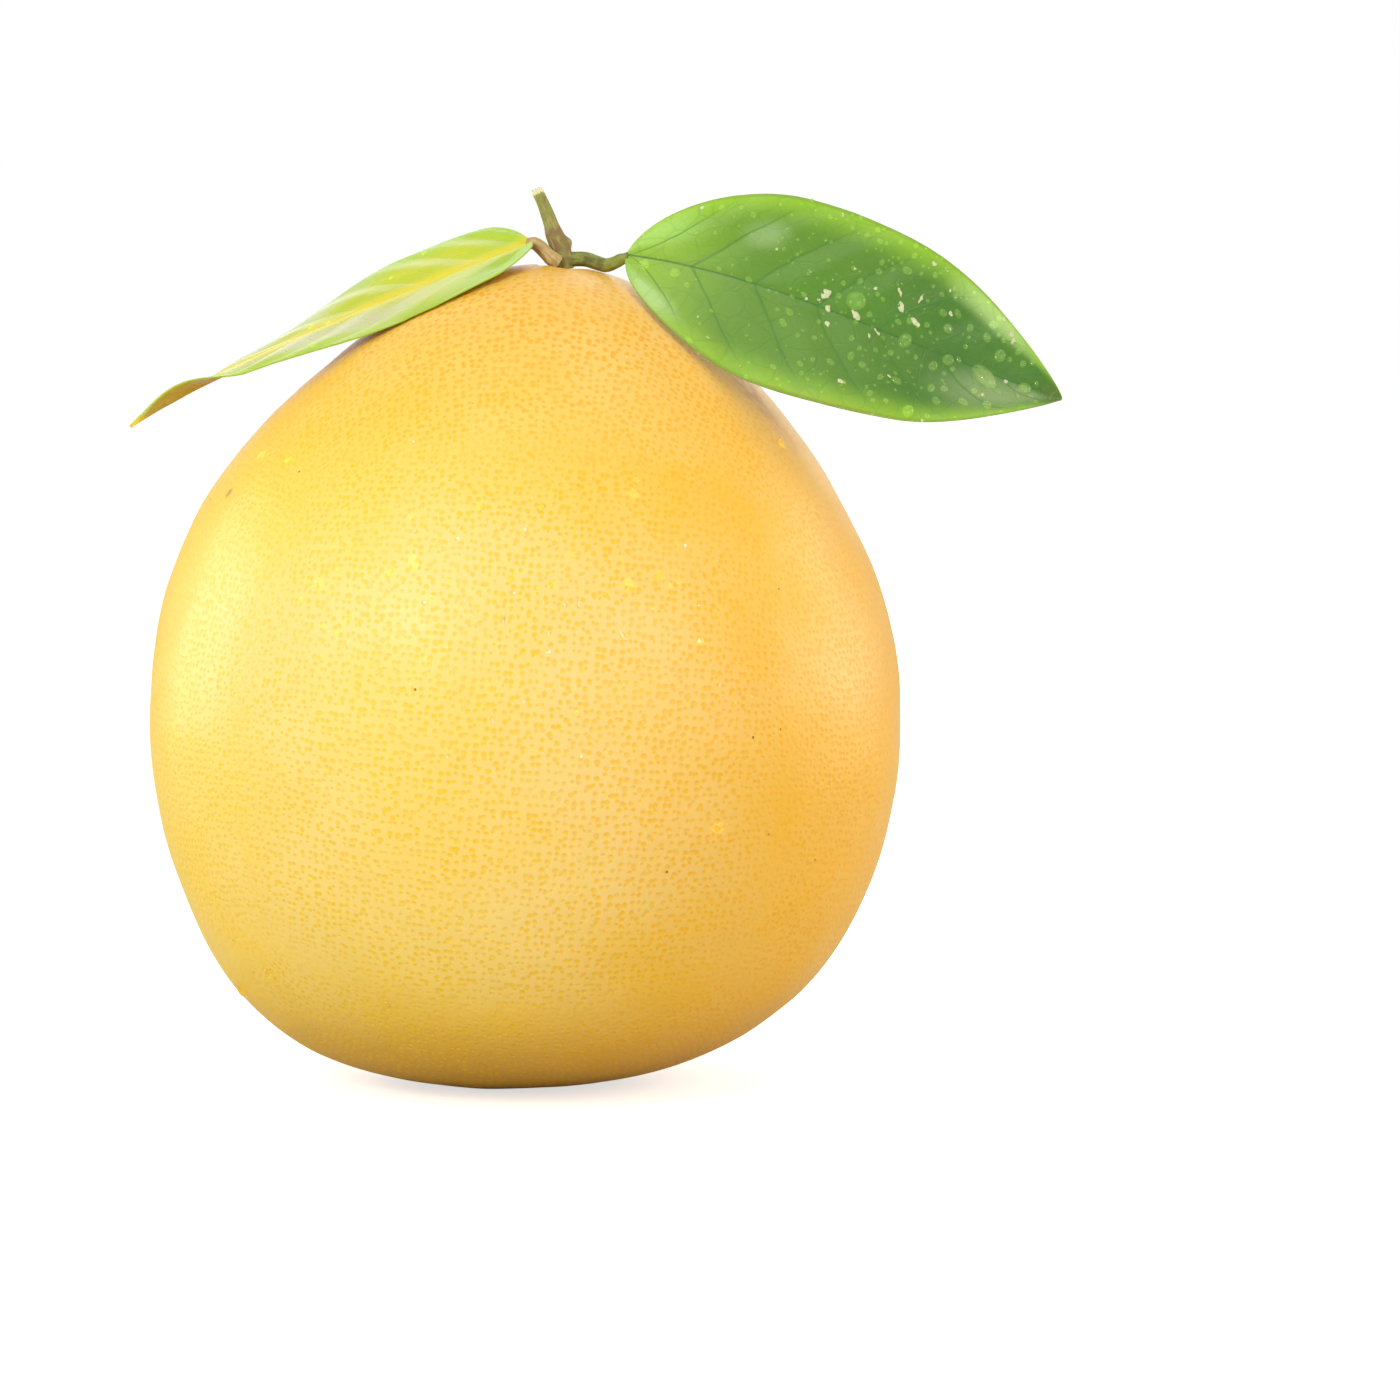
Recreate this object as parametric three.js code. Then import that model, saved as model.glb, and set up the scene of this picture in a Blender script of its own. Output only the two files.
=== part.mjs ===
// A whole pomelo as picked: the fruit, the button it hung from, its cut stem and two leaves
// on their stalks. Millimetres, +Z up. The fruit lies on a small flat spot under its weight,
// and the origin is the centre of that spot.
import * as THREE from 'three';
import { mergeVertices } from 'three/addons/utils/BufferGeometryUtils.js';

// The fruit's own form: how far the rind stands from its centre at even steps of the angle
// from the stem end down to the blossom end. One smooth wave runs through them all.
const rindReaches = [87.4, 81.6, 75.6, 74.1, 74.7, 76.2, 78.4, 77.5, 76.7];

// Wide soft swells of the rind, each round one direction of the fruit: degrees round the
// axis from +X, degrees up from the widest ring, degrees of spread and millimetres of rise.
const swells = [
  { turn: 180, lift: 30, spread: 26, rise: 1.45 },
  { turn: 180, lift: -62, spread: 24, rise: 3.9 },
  { turn: 180, lift: -88, spread: 18, rise: -0.4 },
  { turn: 0, lift: -35, spread: 26, rise: 1.8 },
  { turn: 90, lift: 20, spread: 30, rise: 1.0 },
  { turn: -90, lift: -10, spread: 34, rise: -0.6 },
  { turn: 130, lift: -40, spread: 24, rise: 0.9 },
];

// How the fruit lies: it leans a little towards +X, and its rind is pressed flat underneath.
// Its centre stands a little beside the middle of the flat spot and above it.
const leanDegrees = 4.7;
const centreX = 4.2;
const centreHeight = 76.4;

// The small hollow at the stem end, just off the axis, that holds the button.
const hollowDepth = 2.4;
const hollowRadius = 4.9;
const hollowOffset = 0.5;

// Clear space between pieces that have grown together.
const seam = 0.45;

const buttonRadius = 3.5;
const buttonThickness = 0.9;
const buttonLobes = 5;

// Stem, stalks and leaves are measured from the stem end, the top of the fruit's axis. First
// the stem's middle line, its radii from foot to cut end, and the bud low on it.
const stemLine = [
  [0.64, 0, -0.34],
  [0.24, 0, 1.41],
  [-0.26, 0, 3.21],
  [-1.46, 0, 6.31],
  [-2.96, 0, 10.51],
  [-4.86, 0, 14.81],
];
const stemRadii = [1.4, 1.75, 1.75, 1.42, 1.2, 1.12];
const bud = { along: 0.29, reach: 0.07, rise: 0.95, tightness: 5, towards: [1, 0, 0.35] };

const leftStalkLine = [
  [-1.51, -1.8, 0.81],
  [-2.46, -2.45, 0.96],
  [-3.16, -2, 2.21],
  [-3.71, -1.15, 3.36],
  [-4.01, -0.75, 3.76],
  [-4.31, -0.55, 3.96],
];
const leftStalkRadii = [1.15, 1.25, 1.2, 1.15, 1.1, 1.0];

const rightStalkLine = [
  [2.39, -0.2, 1.11],
  [4.64, -0.8, 1.11],
  [6.84, -2, 0.46],
  [8.94, -3.5, -0.09],
  [10.64, -4.5, 0.41],
  [12.14, -5.1, 1.26],
];
const rightStalkRadii = [1.25, 1.2, 1.15, 1.15, 1.1, 1.05];

// Each leaf hangs on its rib, a cubic curve from stalk to tip. sides holds the width of the
// half on the rib's left and on its right, seen from above and looking to the tip. The rest
// runs along the leaf: roll turns the blade about its rib and fold lifts both halves into a
// valley, in degrees, and cup bends the outer blade down, as a share of the half width.
// The fullnesses shape its outline: a low one makes that end round, a high one pointed.
const rightLeaf = {
  rib: [
    [13.0, -5.4, 2.1],
    [43.5, -15.8, -1.7],
    [71.2, -9.9, -17.8],
    [99.0, -10.4, -26.1],
  ],
  sides: [23.4, 23.8],
  baseFullness: 0.64,
  tipFullness: 0.86,
  roll: [48.8, 52.2, 56, 50],
  fold: [3.5, 3, 7.5, 13],
  cup: [-0.08, 0, 0, 0],
  wave: { height: 0.5, waves: 2.2, start: 0.6 },
};
const leftLeaf = {
  rib: [
    [-6.1, -0.3, 4.8],
    [-25.5, -4.7, -3.8],
    [-69.4, 9.1, -19.2],
    [-86.2, 0.8, -32.0],
  ],
  sides: [18.8, 18.8],
  baseFullness: 0.56,
  tipFullness: 1.48,
  roll: [-14, -18.5, -12.5, 51],
  fold: [11, 8.5, -1.5, 23],
  cup: [0.04, 0.06, 0.03, 0],
  wave: { height: 0.4, waves: 1.8, start: 2.4 },
};
const ribEndWidth = 0.7;
const bladeThickness = 0.7;
const ribThickness = 1.0;
const ribWidth = 1.3;
const sideVeins = 7;
const veinSweep = 0.2;
const quiltDepth = 0.28;

const degrees = Math.PI / 180;

// 0 below from, 1 above to, with a smooth run between.
function smoothStep(from, to, value) {
  const share = THREE.MathUtils.clamp((value - from) / (to - from), 0, 1);
  return share * share * (3 - 2 * share);
}

// A value that runs smoothly through the listed ones, which are evenly spaced from 0 to 1.
function along(values, share) {
  const place = share * (values.length - 1);
  const index = Math.min(Math.floor(place), values.length - 2);
  const between = smoothStep(0, 1, place - index);
  return THREE.MathUtils.lerp(values[index], values[index + 1], between);
}

const swellAxes = swells.map(({ turn, lift }) => new THREE.Vector3(
  Math.cos(lift * degrees) * Math.cos(turn * degrees),
  Math.cos(lift * degrees) * Math.sin(turn * degrees),
  Math.sin(lift * degrees),
));

// The heights of the cosine waves whose sum runs through the rind's reaches.
const steps = rindReaches.length - 1;
const rindWaves = rindReaches.map((unused, wave) => {
  const sum = rindReaches.reduce((total, reach, step) => {
    const half = step === 0 || step === steps ? 0.5 : 1;
    return total + half * reach * Math.cos((Math.PI * wave * step) / steps);
  }, 0);
  return (sum * (wave === 0 || wave === steps ? 1 : 2)) / steps;
});

// The rind's distance from the fruit's centre in one direction of the upright fruit.
function rindReach(direction) {
  const polar = Math.acos(THREE.MathUtils.clamp(direction.z, -1, 1));
  let reach = 0;
  rindWaves.forEach((height, wave) => {
    reach += height * Math.cos(wave * polar);
  });
  swells.forEach(({ spread, rise }, index) => {
    const angle = direction.angleTo(swellAxes[index]) / degrees;
    reach += rise * Math.exp(-((angle / spread) ** 2));
  });
  return reach;
}

// Moves a point of the upright fruit, measured from its centre, to where it lies.
function asItLies(point) {
  point.applyAxisAngle(new THREE.Vector3(0, 1, 0), leanDegrees * degrees);
  return point.add(new THREE.Vector3(centreX, 0, centreHeight));
}

// A point of the rind as the fruit lies, from a direction of the upright fruit.
function rindPoint(direction) {
  const point = direction.clone().multiplyScalar(rindReach(direction));
  if (point.z > 0) {
    const fromHollow = Math.hypot(point.x - hollowOffset, point.y);
    point.z -= hollowDepth * Math.exp(-((fromHollow / hollowRadius) ** 6));
  }
  asItLies(point);
  point.z = Math.max(point.z, 0);
  return point;
}

// Rings of a sphere, drawn closer together towards the stem end, pushed out to the rind.
function fruitGeometry() {
  const sectors = 68;
  const rings = 50;
  const ringCrowding = 1.4;
  const sphere = new THREE.SphereGeometry(1, sectors, rings);
  sphere.deleteAttribute('normal');
  sphere.deleteAttribute('uv');
  sphere.rotateX(Math.PI / 2);
  const geometry = mergeVertices(sphere, 1e-5);
  const place = geometry.getAttribute('position');
  for (let i = 0; i < place.count; i++) {
    const direction = new THREE.Vector3().fromBufferAttribute(place, i).normalize();
    const spherical = Math.acos(THREE.MathUtils.clamp(direction.z, -1, 1));
    const polar = Math.PI * (spherical / Math.PI) ** ringCrowding;
    const turn = Math.atan2(direction.y, direction.x);
    direction.setFromSphericalCoords(1, polar, turn);
    const point = rindPoint(new THREE.Vector3(direction.z, direction.x, direction.y));
    place.setXYZ(i, point.x, point.y, point.z);
  }
  geometry.computeVertexNormals();
  return geometry;
}

// The lobed woody disc between fruit and stem, on its own axis with its underside at 0.
function buttonGeometry() {
  const facets = 40;
  const lobeDepth = 0.12;
  const top = buttonThickness;
  const profile = [
    [0, 0], [2.0, 0], [3.1, 0.15], [buttonRadius, 0.4], [3.3, 0.65], [2.4, top - 0.06], [0, top],
  ].map(([x, y]) => new THREE.Vector2(x, y));
  const disc = new THREE.LatheGeometry(profile, facets);
  disc.deleteAttribute('normal');
  disc.deleteAttribute('uv');
  disc.rotateX(Math.PI / 2);
  const geometry = mergeVertices(disc, 1e-4);
  const place = geometry.getAttribute('position');
  for (let i = 0; i < place.count; i++) {
    const radius = Math.hypot(place.getX(i), place.getY(i));
    const turn = Math.atan2(place.getY(i), place.getX(i));
    const outer = smoothStep(0.4, 1, radius / buttonRadius);
    const scale = 1 + lobeDepth * outer * (Math.cos(buttonLobes * turn) - 1);
    place.setXY(i, place.getX(i) * scale, place.getY(i) * scale);
  }
  geometry.computeVertexNormals();
  return geometry;
}

// Turns lists of points and of triangles into one geometry.
function meshFrom(points, triangles) {
  const geometry = new THREE.BufferGeometry();
  const flat = points.flatMap((point) => [point.x, point.y, point.z]);
  geometry.setAttribute('position', new THREE.Float32BufferAttribute(flat, 3));
  geometry.setIndex(triangles.flat());
  geometry.computeVertexNormals();
  return geometry;
}

// A closed round rod along a smooth line through the given points. radiusAt gives the radius
// at a share of the length, for the outward direction of each corner.
function rodGeometry(line, radiusAt, steps, facets) {
  const curve = new THREE.CatmullRomCurve3(line.map((point) => new THREE.Vector3(...point)));
  const frames = curve.computeFrenetFrames(steps, false);
  const points = [];
  const triangles = [];
  for (let i = 0; i <= steps; i++) {
    const centre = curve.getPointAt(i / steps);
    for (let j = 0; j < facets; j++) {
      const turn = (2 * Math.PI * j) / facets;
      const outward = frames.normals[i].clone().multiplyScalar(Math.cos(turn))
        .addScaledVector(frames.binormals[i], Math.sin(turn));
      points.push(centre.clone().addScaledVector(outward, radiusAt(i / steps, outward)));
    }
  }
  for (let i = 0; i < steps; i++) {
    for (let j = 0; j < facets; j++) {
      const next = (j + 1) % facets;
      const corner = i * facets;
      triangles.push([corner + j, corner + next, corner + facets + next]);
      triangles.push([corner + j, corner + facets + next, corner + facets + j]);
    }
  }
  const foot = points.push(curve.getPointAt(0)) - 1;
  const head = points.push(curve.getPointAt(1)) - 1;
  const lastRing = steps * facets;
  for (let j = 0; j < facets; j++) {
    const next = (j + 1) % facets;
    triangles.push([foot, next, j]);
    triangles.push([head, lastRing + j, lastRing + next]);
  }
  return meshFrom(points, triangles);
}

// The stem, thicker at its knot, with one bud pushed out of it above the right stalk.
function stemGeometry() {
  const budSide = new THREE.Vector3(...bud.towards).normalize();
  const radiusAt = (share, outward) => {
    const near = Math.exp(-(((share - bud.along) / bud.reach) ** 2));
    const facing = Math.max(outward.dot(budSide), 0) ** bud.tightness;
    return along(stemRadii, share) + bud.rise * near * facing;
  };
  return rodGeometry(stemLine, radiusAt, 22, 16);
}

function stalkGeometry(line, radii) {
  return rodGeometry(line, (share) => along(radii, share), 12, 12);
}

// The share of a leaf's full half width at a share of its length.
function bladeShare({ baseFullness, tipFullness }, share) {
  const widest = baseFullness / (baseFullness + tipFullness);
  const full = widest ** baseFullness * (1 - widest) ** tipFullness;
  return (share ** baseFullness * (1 - share) ** tipFullness) / full;
}

// The upper face of a leaf at a share of its length and from -1 to 1 across it, with the
// direction that its thickness is laid down in.
function leafPoint(leaf, rib, share, across) {
  const middle = rib.getPoint(share);
  const tangent = rib.getTangent(share);
  const level = tangent.clone().cross(new THREE.Vector3(0, 0, 1)).normalize();
  const side = level.applyAxisAngle(tangent, along(leaf.roll, share) * degrees);
  const normal = side.clone().cross(tangent);
  const outward = Math.abs(across);
  const fullWidth = across < 0 ? leaf.sides[0] : leaf.sides[1];
  const width = Math.max(fullWidth * bladeShare(leaf, share), ribEndWidth);
  const fold = along(leaf.fold, share) * degrees;
  const cup = along(leaf.cup, share) * outward ** 2.4 * width;
  const edge = bladeShare(leaf, share) * outward ** 2;
  const turns = leaf.wave.waves * share + (across < 0 ? 0.5 : 0);
  const wave = leaf.wave.height * edge * Math.sin(2 * Math.PI * turns + leaf.wave.start);
  const veinPhase = sideVeins * (share - veinSweep * outward ** 1.2);
  const pillow = 4 * outward * (1 - outward) * bladeShare(leaf, share);
  const quilt = quiltDepth * pillow * Math.cos(2 * Math.PI * veinPhase);
  const lift = Math.sin(fold) * width * outward - cup + wave - quilt;
  const point = middle
    .addScaledVector(side, Math.cos(fold) * width * across)
    .addScaledVector(normal, lift);
  const ridge = Math.exp(-((width * across / ribWidth) ** 2)) * (1 - 0.75 * share);
  return { point, normal, thickness: bladeThickness + ribThickness * ridge };
}

// A leaf as one thin closed solid: the upper face, the same face laid one thickness lower,
// and a rim. Both faces are split into triangles alike.
function leafGeometry(leaf) {
  const rows = 38;
  const acrossShares = [0, 0.05, 0.13, 0.28, 0.46, 0.64, 0.83, 1];
  const shares = [...acrossShares.slice(1).reverse().map((share) => -share), ...acrossShares];
  const columns = shares.length;
  const rib = new THREE.CubicBezierCurve3(...leaf.rib.map((point) => new THREE.Vector3(...point)));
  const upper = [];
  const lower = [];
  for (let i = 0; i <= rows; i++) {
    const even = i / rows;
    const crowded = (1 - Math.cos(Math.PI * even)) / 2;
    const share = THREE.MathUtils.lerp(even, crowded, 0.6);
    for (const across of shares) {
      const { point, normal, thickness } = leafPoint(leaf, rib, share, across);
      upper.push(point);
      lower.push(point.clone().addScaledVector(normal, -thickness));
    }
  }
  const under = upper.length;
  const triangles = [];
  const quad = (a, b, c, d) => triangles.push([a, b, c], [a, c, d]);
  for (let i = 0; i < rows; i++) {
    for (let j = 0; j < columns - 1; j++) {
      const a = i * columns + j;
      const d = a + columns;
      triangles.push([a, a + 1, d + 1], [a, d + 1, d]);
      triangles.push([under + a, under + d + 1, under + a + 1]);
      triangles.push([under + a, under + d, under + d + 1]);
    }
    const first = i * columns;
    const last = first + columns - 1;
    quad(first, first + columns, under + first + columns, under + first);
    quad(last + columns, last, under + last, under + last + columns);
  }
  const tip = rows * columns;
  for (let j = 0; j < columns - 1; j++) {
    quad(j + 1, j, under + j, under + j + 1);
    quad(tip + j, tip + j + 1, under + tip + j + 1, under + tip + j);
  }
  return meshFrom([...upper, ...lower], triangles);
}

function piece(name, geometry, color, roughness) {
  const material = new THREE.MeshStandardMaterial({ color, roughness, metalness: 0 });
  const mesh = new THREE.Mesh(geometry, material);
  mesh.name = name;
  return mesh;
}

// The button lies in the hollow, square to the fruit's axis and just clear of its floor.
function placedButton() {
  const button = piece('button', buttonGeometry(), 0x8a7a45, 0.75);
  const height = rindReaches[0] - hollowDepth + seam;
  button.position.copy(asItLies(new THREE.Vector3(hollowOffset, 0, height)));
  button.rotation.y = leanDegrees * degrees;
  return button;
}

const pomelo = new THREE.Group();
pomelo.name = 'pomelo';
pomelo.add(piece('fruit', fruitGeometry(), 0xf6cb45, 0.42));
pomelo.add(placedButton());

const twig = new THREE.Group();
twig.name = 'twig';
twig.position.copy(asItLies(new THREE.Vector3(0, 0, rindReaches[0])));
twig.add(piece('stem', stemGeometry(), 0x8f8c4d, 0.7));
twig.add(piece('petiole_left', stalkGeometry(leftStalkLine, leftStalkRadii), 0xa98a58, 0.65));
twig.add(piece('petiole_right', stalkGeometry(rightStalkLine, rightStalkRadii), 0x8d964c, 0.6));
twig.add(piece('leaf_left', leafGeometry(leftLeaf), 0xb4cf37, 0.4));
twig.add(piece('leaf_right', leafGeometry(rightLeaf), 0x559b2f, 0.35));
pomelo.add(twig);

export default pomelo;
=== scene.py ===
import math
import random
from functools import partial

import bmesh
import bpy
import numpy as np
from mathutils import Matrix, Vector, noise


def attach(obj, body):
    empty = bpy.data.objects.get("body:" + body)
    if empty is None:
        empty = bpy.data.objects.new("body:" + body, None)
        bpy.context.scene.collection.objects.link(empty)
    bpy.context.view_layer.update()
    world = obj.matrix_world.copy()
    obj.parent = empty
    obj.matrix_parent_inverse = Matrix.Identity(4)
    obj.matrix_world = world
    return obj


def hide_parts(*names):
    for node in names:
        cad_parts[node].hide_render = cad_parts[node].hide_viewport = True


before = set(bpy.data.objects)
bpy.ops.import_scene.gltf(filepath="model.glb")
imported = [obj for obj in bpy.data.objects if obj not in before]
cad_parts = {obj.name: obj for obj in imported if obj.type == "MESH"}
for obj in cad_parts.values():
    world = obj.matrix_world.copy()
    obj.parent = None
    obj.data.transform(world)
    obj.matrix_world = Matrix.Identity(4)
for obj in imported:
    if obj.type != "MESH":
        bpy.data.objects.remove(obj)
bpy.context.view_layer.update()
mm = 0.001
scene = bpy.context.scene


def linear(hexColour):  # an sRGB hex colour as the linear values that nodes hold
    values = [int(hexColour[i:i + 2], 16) / 255 for i in (0, 2, 4)]
    return [v / 12.92 if v <= 0.04045 else ((v + 0.055) / 1.055) ** 2.4 for v in values] + [1]


# One node with its settings and what its sockets get: values or links, by name or in a list
def addNode(tree, kind, settings=(), links=()):
    node = tree.nodes.new(kind if "Node" in kind else "ShaderNode" + kind)
    for name, value in dict(settings).items():
        setattr(node, name, value)
    for key, value in dict(enumerate(links) if isinstance(links, list) else links).items():
        if isinstance(key, int):
            socket = node.inputs[key]
        else:
            socket = next(s for s in node.inputs if s.name == key and s.enabled)
        if isinstance(value, bpy.types.Node):
            value = next(s for s in value.outputs if s.enabled)
        if isinstance(value, bpy.types.NodeSocket):
            tree.links.new(value, socket)
        else:
            socket.default_value = value
    return node


# Settings that many nodes share
softly = {"interpolation_type": "SMOOTHSTEP"}  # how a value runs between the ends of its range
rgba, asVector = {"data_type": "RGBA"}, {"data_type": "FLOAT_VECTOR"}
plus, minus, times, timesPlus, larger, absolute, apart = (
    {"operation": name} for name in (
        "ADD", "SUBTRACT", "MULTIPLY", "MULTIPLY_ADD", "MAXIMUM", "ABSOLUTE", "DISTANCE"))


def newMaterial(name):  # an empty material, and the call that adds nodes to it
    material = bpy.data.materials.new(name)
    material.use_nodes = True
    material.node_tree.nodes.clear()
    return material, partial(addNode, material.node_tree)


def newPiece(name, points, faces, materials=(), smooth=True):  # points in mm, in the part's frame
    mesh = bpy.data.meshes.new(name)
    mesh.from_pydata([tuple(p) for p in np.asarray(points) * mm], [], faces)
    for material in materials:
        mesh.materials.append(material)
    mesh.polygons.foreach_set("use_smooth", [smooth] * len(mesh.polygons))
    mesh.update()
    piece = bpy.data.objects.new(name, mesh)
    scene.collection.objects.link(piece)
    return piece


def storeVector(piece, name, vectors):  # a vector for each corner point, for materials to read
    layer = piece.data.attributes.new(name, "FLOAT_VECTOR", "POINT")
    layer.data.foreach_set("vector", np.asarray(vectors, dtype=np.float32).ravel())


def smoothStep(value):
    value = np.clip(value, 0, 1)
    return value * value * (3 - 2 * value)


def through(values, share):  # runs smoothly through evenly spaced values
    place = share * (len(values) - 1)
    index = np.minimum(np.floor(place).astype(int), len(values) - 2)
    step = smoothStep(place - index)
    values = np.array(values, dtype=float)
    return values[index] * (1 - step) + values[index + 1] * step


def unit(vectors):
    return vectors / np.linalg.norm(vectors, axis=-1, keepdims=True)


# Camera: 1.1 m in front of the fruit and 5 degrees above its middle, as the photo was taken
view = {
    "target": (38.9, 0, 76.7),
    "distance": 1100,
    "elevation": 5,
    "sensor": 36,
    "focalPixels": 5500,
    "picturePixels": 1400,
}
elevation = math.radians(view["elevation"])
target = Vector(view["target"]) * mm
cameraPlace = target + view["distance"] * mm * Vector((0, -math.cos(elevation), math.sin(elevation)))
cameraData = bpy.data.cameras.new("camera")
cameraData.sensor_width = view["sensor"]
cameraData.lens = view["focalPixels"] / view["picturePixels"] * view["sensor"]
camera = bpy.data.objects.new("camera", cameraData)
camera.location = cameraPlace
camera.rotation_euler = (target - cameraPlace).to_track_quat("-Z", "Y").to_euler()
scene.collection.objects.link(camera)
scene.camera = camera


def sightLine(across, down):  # from the camera through one pixel of the photo
    half = view["picturePixels"] / 2
    ahead = (target - cameraPlace).normalized()
    right = Vector((1, 0, 0))
    up = right.cross(ahead)
    return (ahead * view["focalPixels"] + right * (across - half) - up * (down - half)).normalized()


def seenAt(piece, across, down):  # where that line meets a piece, and the way its skin faces there
    found, place, normal, face = piece.ray_cast(cameraPlace, sightLine(across, down))
    return (place, normal) if found else (None, None)


# Studio: bright pale surroundings, with large soft lights at both sides of the viewer, above and behind
studio = {
    "worldColour": "ffffff",
    "lightStrength": 0.5,
    "backdropStrength": 1.0,
    "floorBounce": "ccc9be",
    "floorColour": "f6f6f6",
    "floorLift": 0.62,
    "floorSize": 9.0,
    "middle": (0, 0, 0.08),  # what the lights face
    "lights": [
        # name, way from the fruit's middle, distance m, width m, height m, watts, colour
        ("keyLight", (-0.66, -0.70, 0.30), 0.95, 0.80, 0.95, 4.0, "fffdf8"),
        ("fillLight", (0.66, -0.76, 0.22), 1.15, 0.62, 0.80, 4.0, "fffaf4"),
        ("topLight", (0.05, -0.05, 1.0), 1.2, 1.0, 0.8, 2.6, "ffffff"),
        ("leftRimLight", (-0.88, 0.42, 0.06), 1.1, 0.6, 1.0, 6.0, "ffffff"),
        ("rightRimLight", (0.90, 0.34, 0.06), 1.1, 0.6, 1.0, 6.5, "fff4e0"),
        ("backLight", (0.05, 0.90, 0.40), 1.2, 0.9, 0.8, 2.4, "ffffff"),
        ("sparkLight", (-0.50, -0.76, 0.46), 1.1, 0.12, 0.14, 1.5, "ffffff"),  # the points on the drops
    ],
}
scene.view_settings.view_transform = "Standard"
scene.view_settings.look = "None"
world = bpy.data.worlds.new("studio")
world.use_nodes = True
world.node_tree.nodes.clear()
add = partial(addNode, world.node_tree)
seen = add("LightPath").outputs["Is Camera Ray"]
around = add("Background", {}, {
    "Color": linear(studio["worldColour"]), "Strength": studio["lightStrength"]})
backdrop = add("Background", {}, {
    "Color": linear(studio["worldColour"]), "Strength": studio["backdropStrength"]})
both = add("MixShader", {}, [seen, around, backdrop])
add("OutputWorld", {}, {"Surface": both})
scene.world = world
for name, way, distance, width, height, watts, colour in studio["lights"]:
    lightData = bpy.data.lights.new(name, "AREA")
    lightData.shape = "RECTANGLE"
    lightData.size, lightData.size_y = width, height
    lightData.energy = watts
    lightData.color = linear(colour)[:3]
    light = bpy.data.objects.new(name, lightData)
    middle = Vector(studio["middle"])
    light.location = middle + Vector(way).normalized() * distance
    light.rotation_euler = (middle - light.location).to_track_quat("-Z", "Y").to_euler()
    scene.collection.objects.link(light)

# Floor: matt white paper, lit up to the white of the backdrop, which throws little light back
floorPaper, add = newMaterial("mattWhitePaper")
bounce = add("BsdfPrincipled", {}, {
    "Base Color": linear(studio["floorBounce"]), "Roughness": 0.9, "Specular IOR Level": 0.1})
shown = add("BsdfPrincipled", {}, {
    "Base Color": linear(studio["floorColour"]), "Roughness": 0.9, "Specular IOR Level": 0.1,
    "Emission Color": linear("ffffff"), "Emission Strength": studio["floorLift"]})
seen = add("LightPath").outputs["Is Camera Ray"]
add("OutputMaterial", {}, {"Surface": add("MixShader", {}, [seen, bounce, shown])})
reach = studio["floorSize"] / 2 / mm
corners = [(-reach, -reach, 0), (reach, -reach, 0), (reach, reach, 0), (-reach, reach, 0)]
floor = newPiece("floor", corners, [(0, 1, 2, 3)], [floorPaper], smooth=False)
print("studio and floor made")

# Fruit: a pear-shaped ball whose reach from its centre is one smooth wave, stem end to blossom end
fruitForm = {
    "reaches": [87.4, 81.6, 75.6, 74.1, 74.7, 76.2, 78.4, 77.5, 76.7],  # mm, every 22.5 degrees
    "swells": [  # degrees round the axis, degrees up, degrees wide, mm high
        (180, 30, 26, 1.45), (180, -62, 24, 3.9), (180, -88, 18, -0.4), (0, -35, 26, 1.8),
        (90, 20, 30, 1.0), (-90, -10, 34, -0.6), (130, -40, 24, 0.9),
    ],
    "leanDegrees": 4.7,
    "centre": (4.2, 0, 76.4),
    "hollowDepth": 2.4,
    "hollowRadius": 4.9,
    "hollowOffset": 0.5,
    "facesPerEdge": 118,  # of the cube that the ball is blown up from
    "stemCrowding": 0.22,  # draws its points closer together towards the stem end
    "unevenness": [(34, 0.55), (13, 0.22), (5.5, 0.07)],  # mm wide, mm high: the rind's soft dents
    "calm": (4, 14),  # mm from the axis: even up to here, fully uneven from there
    "creases": (5, 0.12, 0.6),  # of the hollow's rim: count, share of its radius, start
    "mapRadius": 77,  # mm, the ball that the flat maps of the skin are taken from
    "mapShift": 400,  # mm between the maps of opposite sides
}


def rindReach(ways):
    form = fruitForm
    steps = len(form["reaches"]) - 1
    polar = np.arccos(np.clip(ways[:, 2], -1, 1))
    weights = np.array([0.5] + [1] * (steps - 1) + [0.5]) * form["reaches"]
    reachNow = np.zeros(len(ways))
    for wave in range(steps + 1):
        height = (weights * np.cos(np.pi * wave * np.arange(steps + 1) / steps)).sum() / steps
        reachNow += height * (1 if wave in (0, steps) else 2) * np.cos(wave * polar)
    for turn, lift, spread, rise in form["swells"]:
        turn, lift = math.radians(turn), math.radians(lift)
        axis = [math.cos(lift) * math.cos(turn), math.cos(lift) * math.sin(turn), math.sin(lift)]
        angle = np.degrees(np.arccos(np.clip(ways @ axis, -1, 1)))
        reachNow += rise * np.exp(-((angle / spread) ** 2))
    return reachNow


def asItLies(points):  # leans points of the upright fruit over and lifts them on to the floor
    lean = math.radians(fruitForm["leanDegrees"])
    points = np.atleast_2d(points)
    x = points[:, 0] * math.cos(lean) + points[:, 2] * math.sin(lean)
    z = points[:, 2] * math.cos(lean) - points[:, 0] * math.sin(lean)
    return np.stack([x, points[:, 1], z], 1) + fruitForm["centre"]


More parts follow.
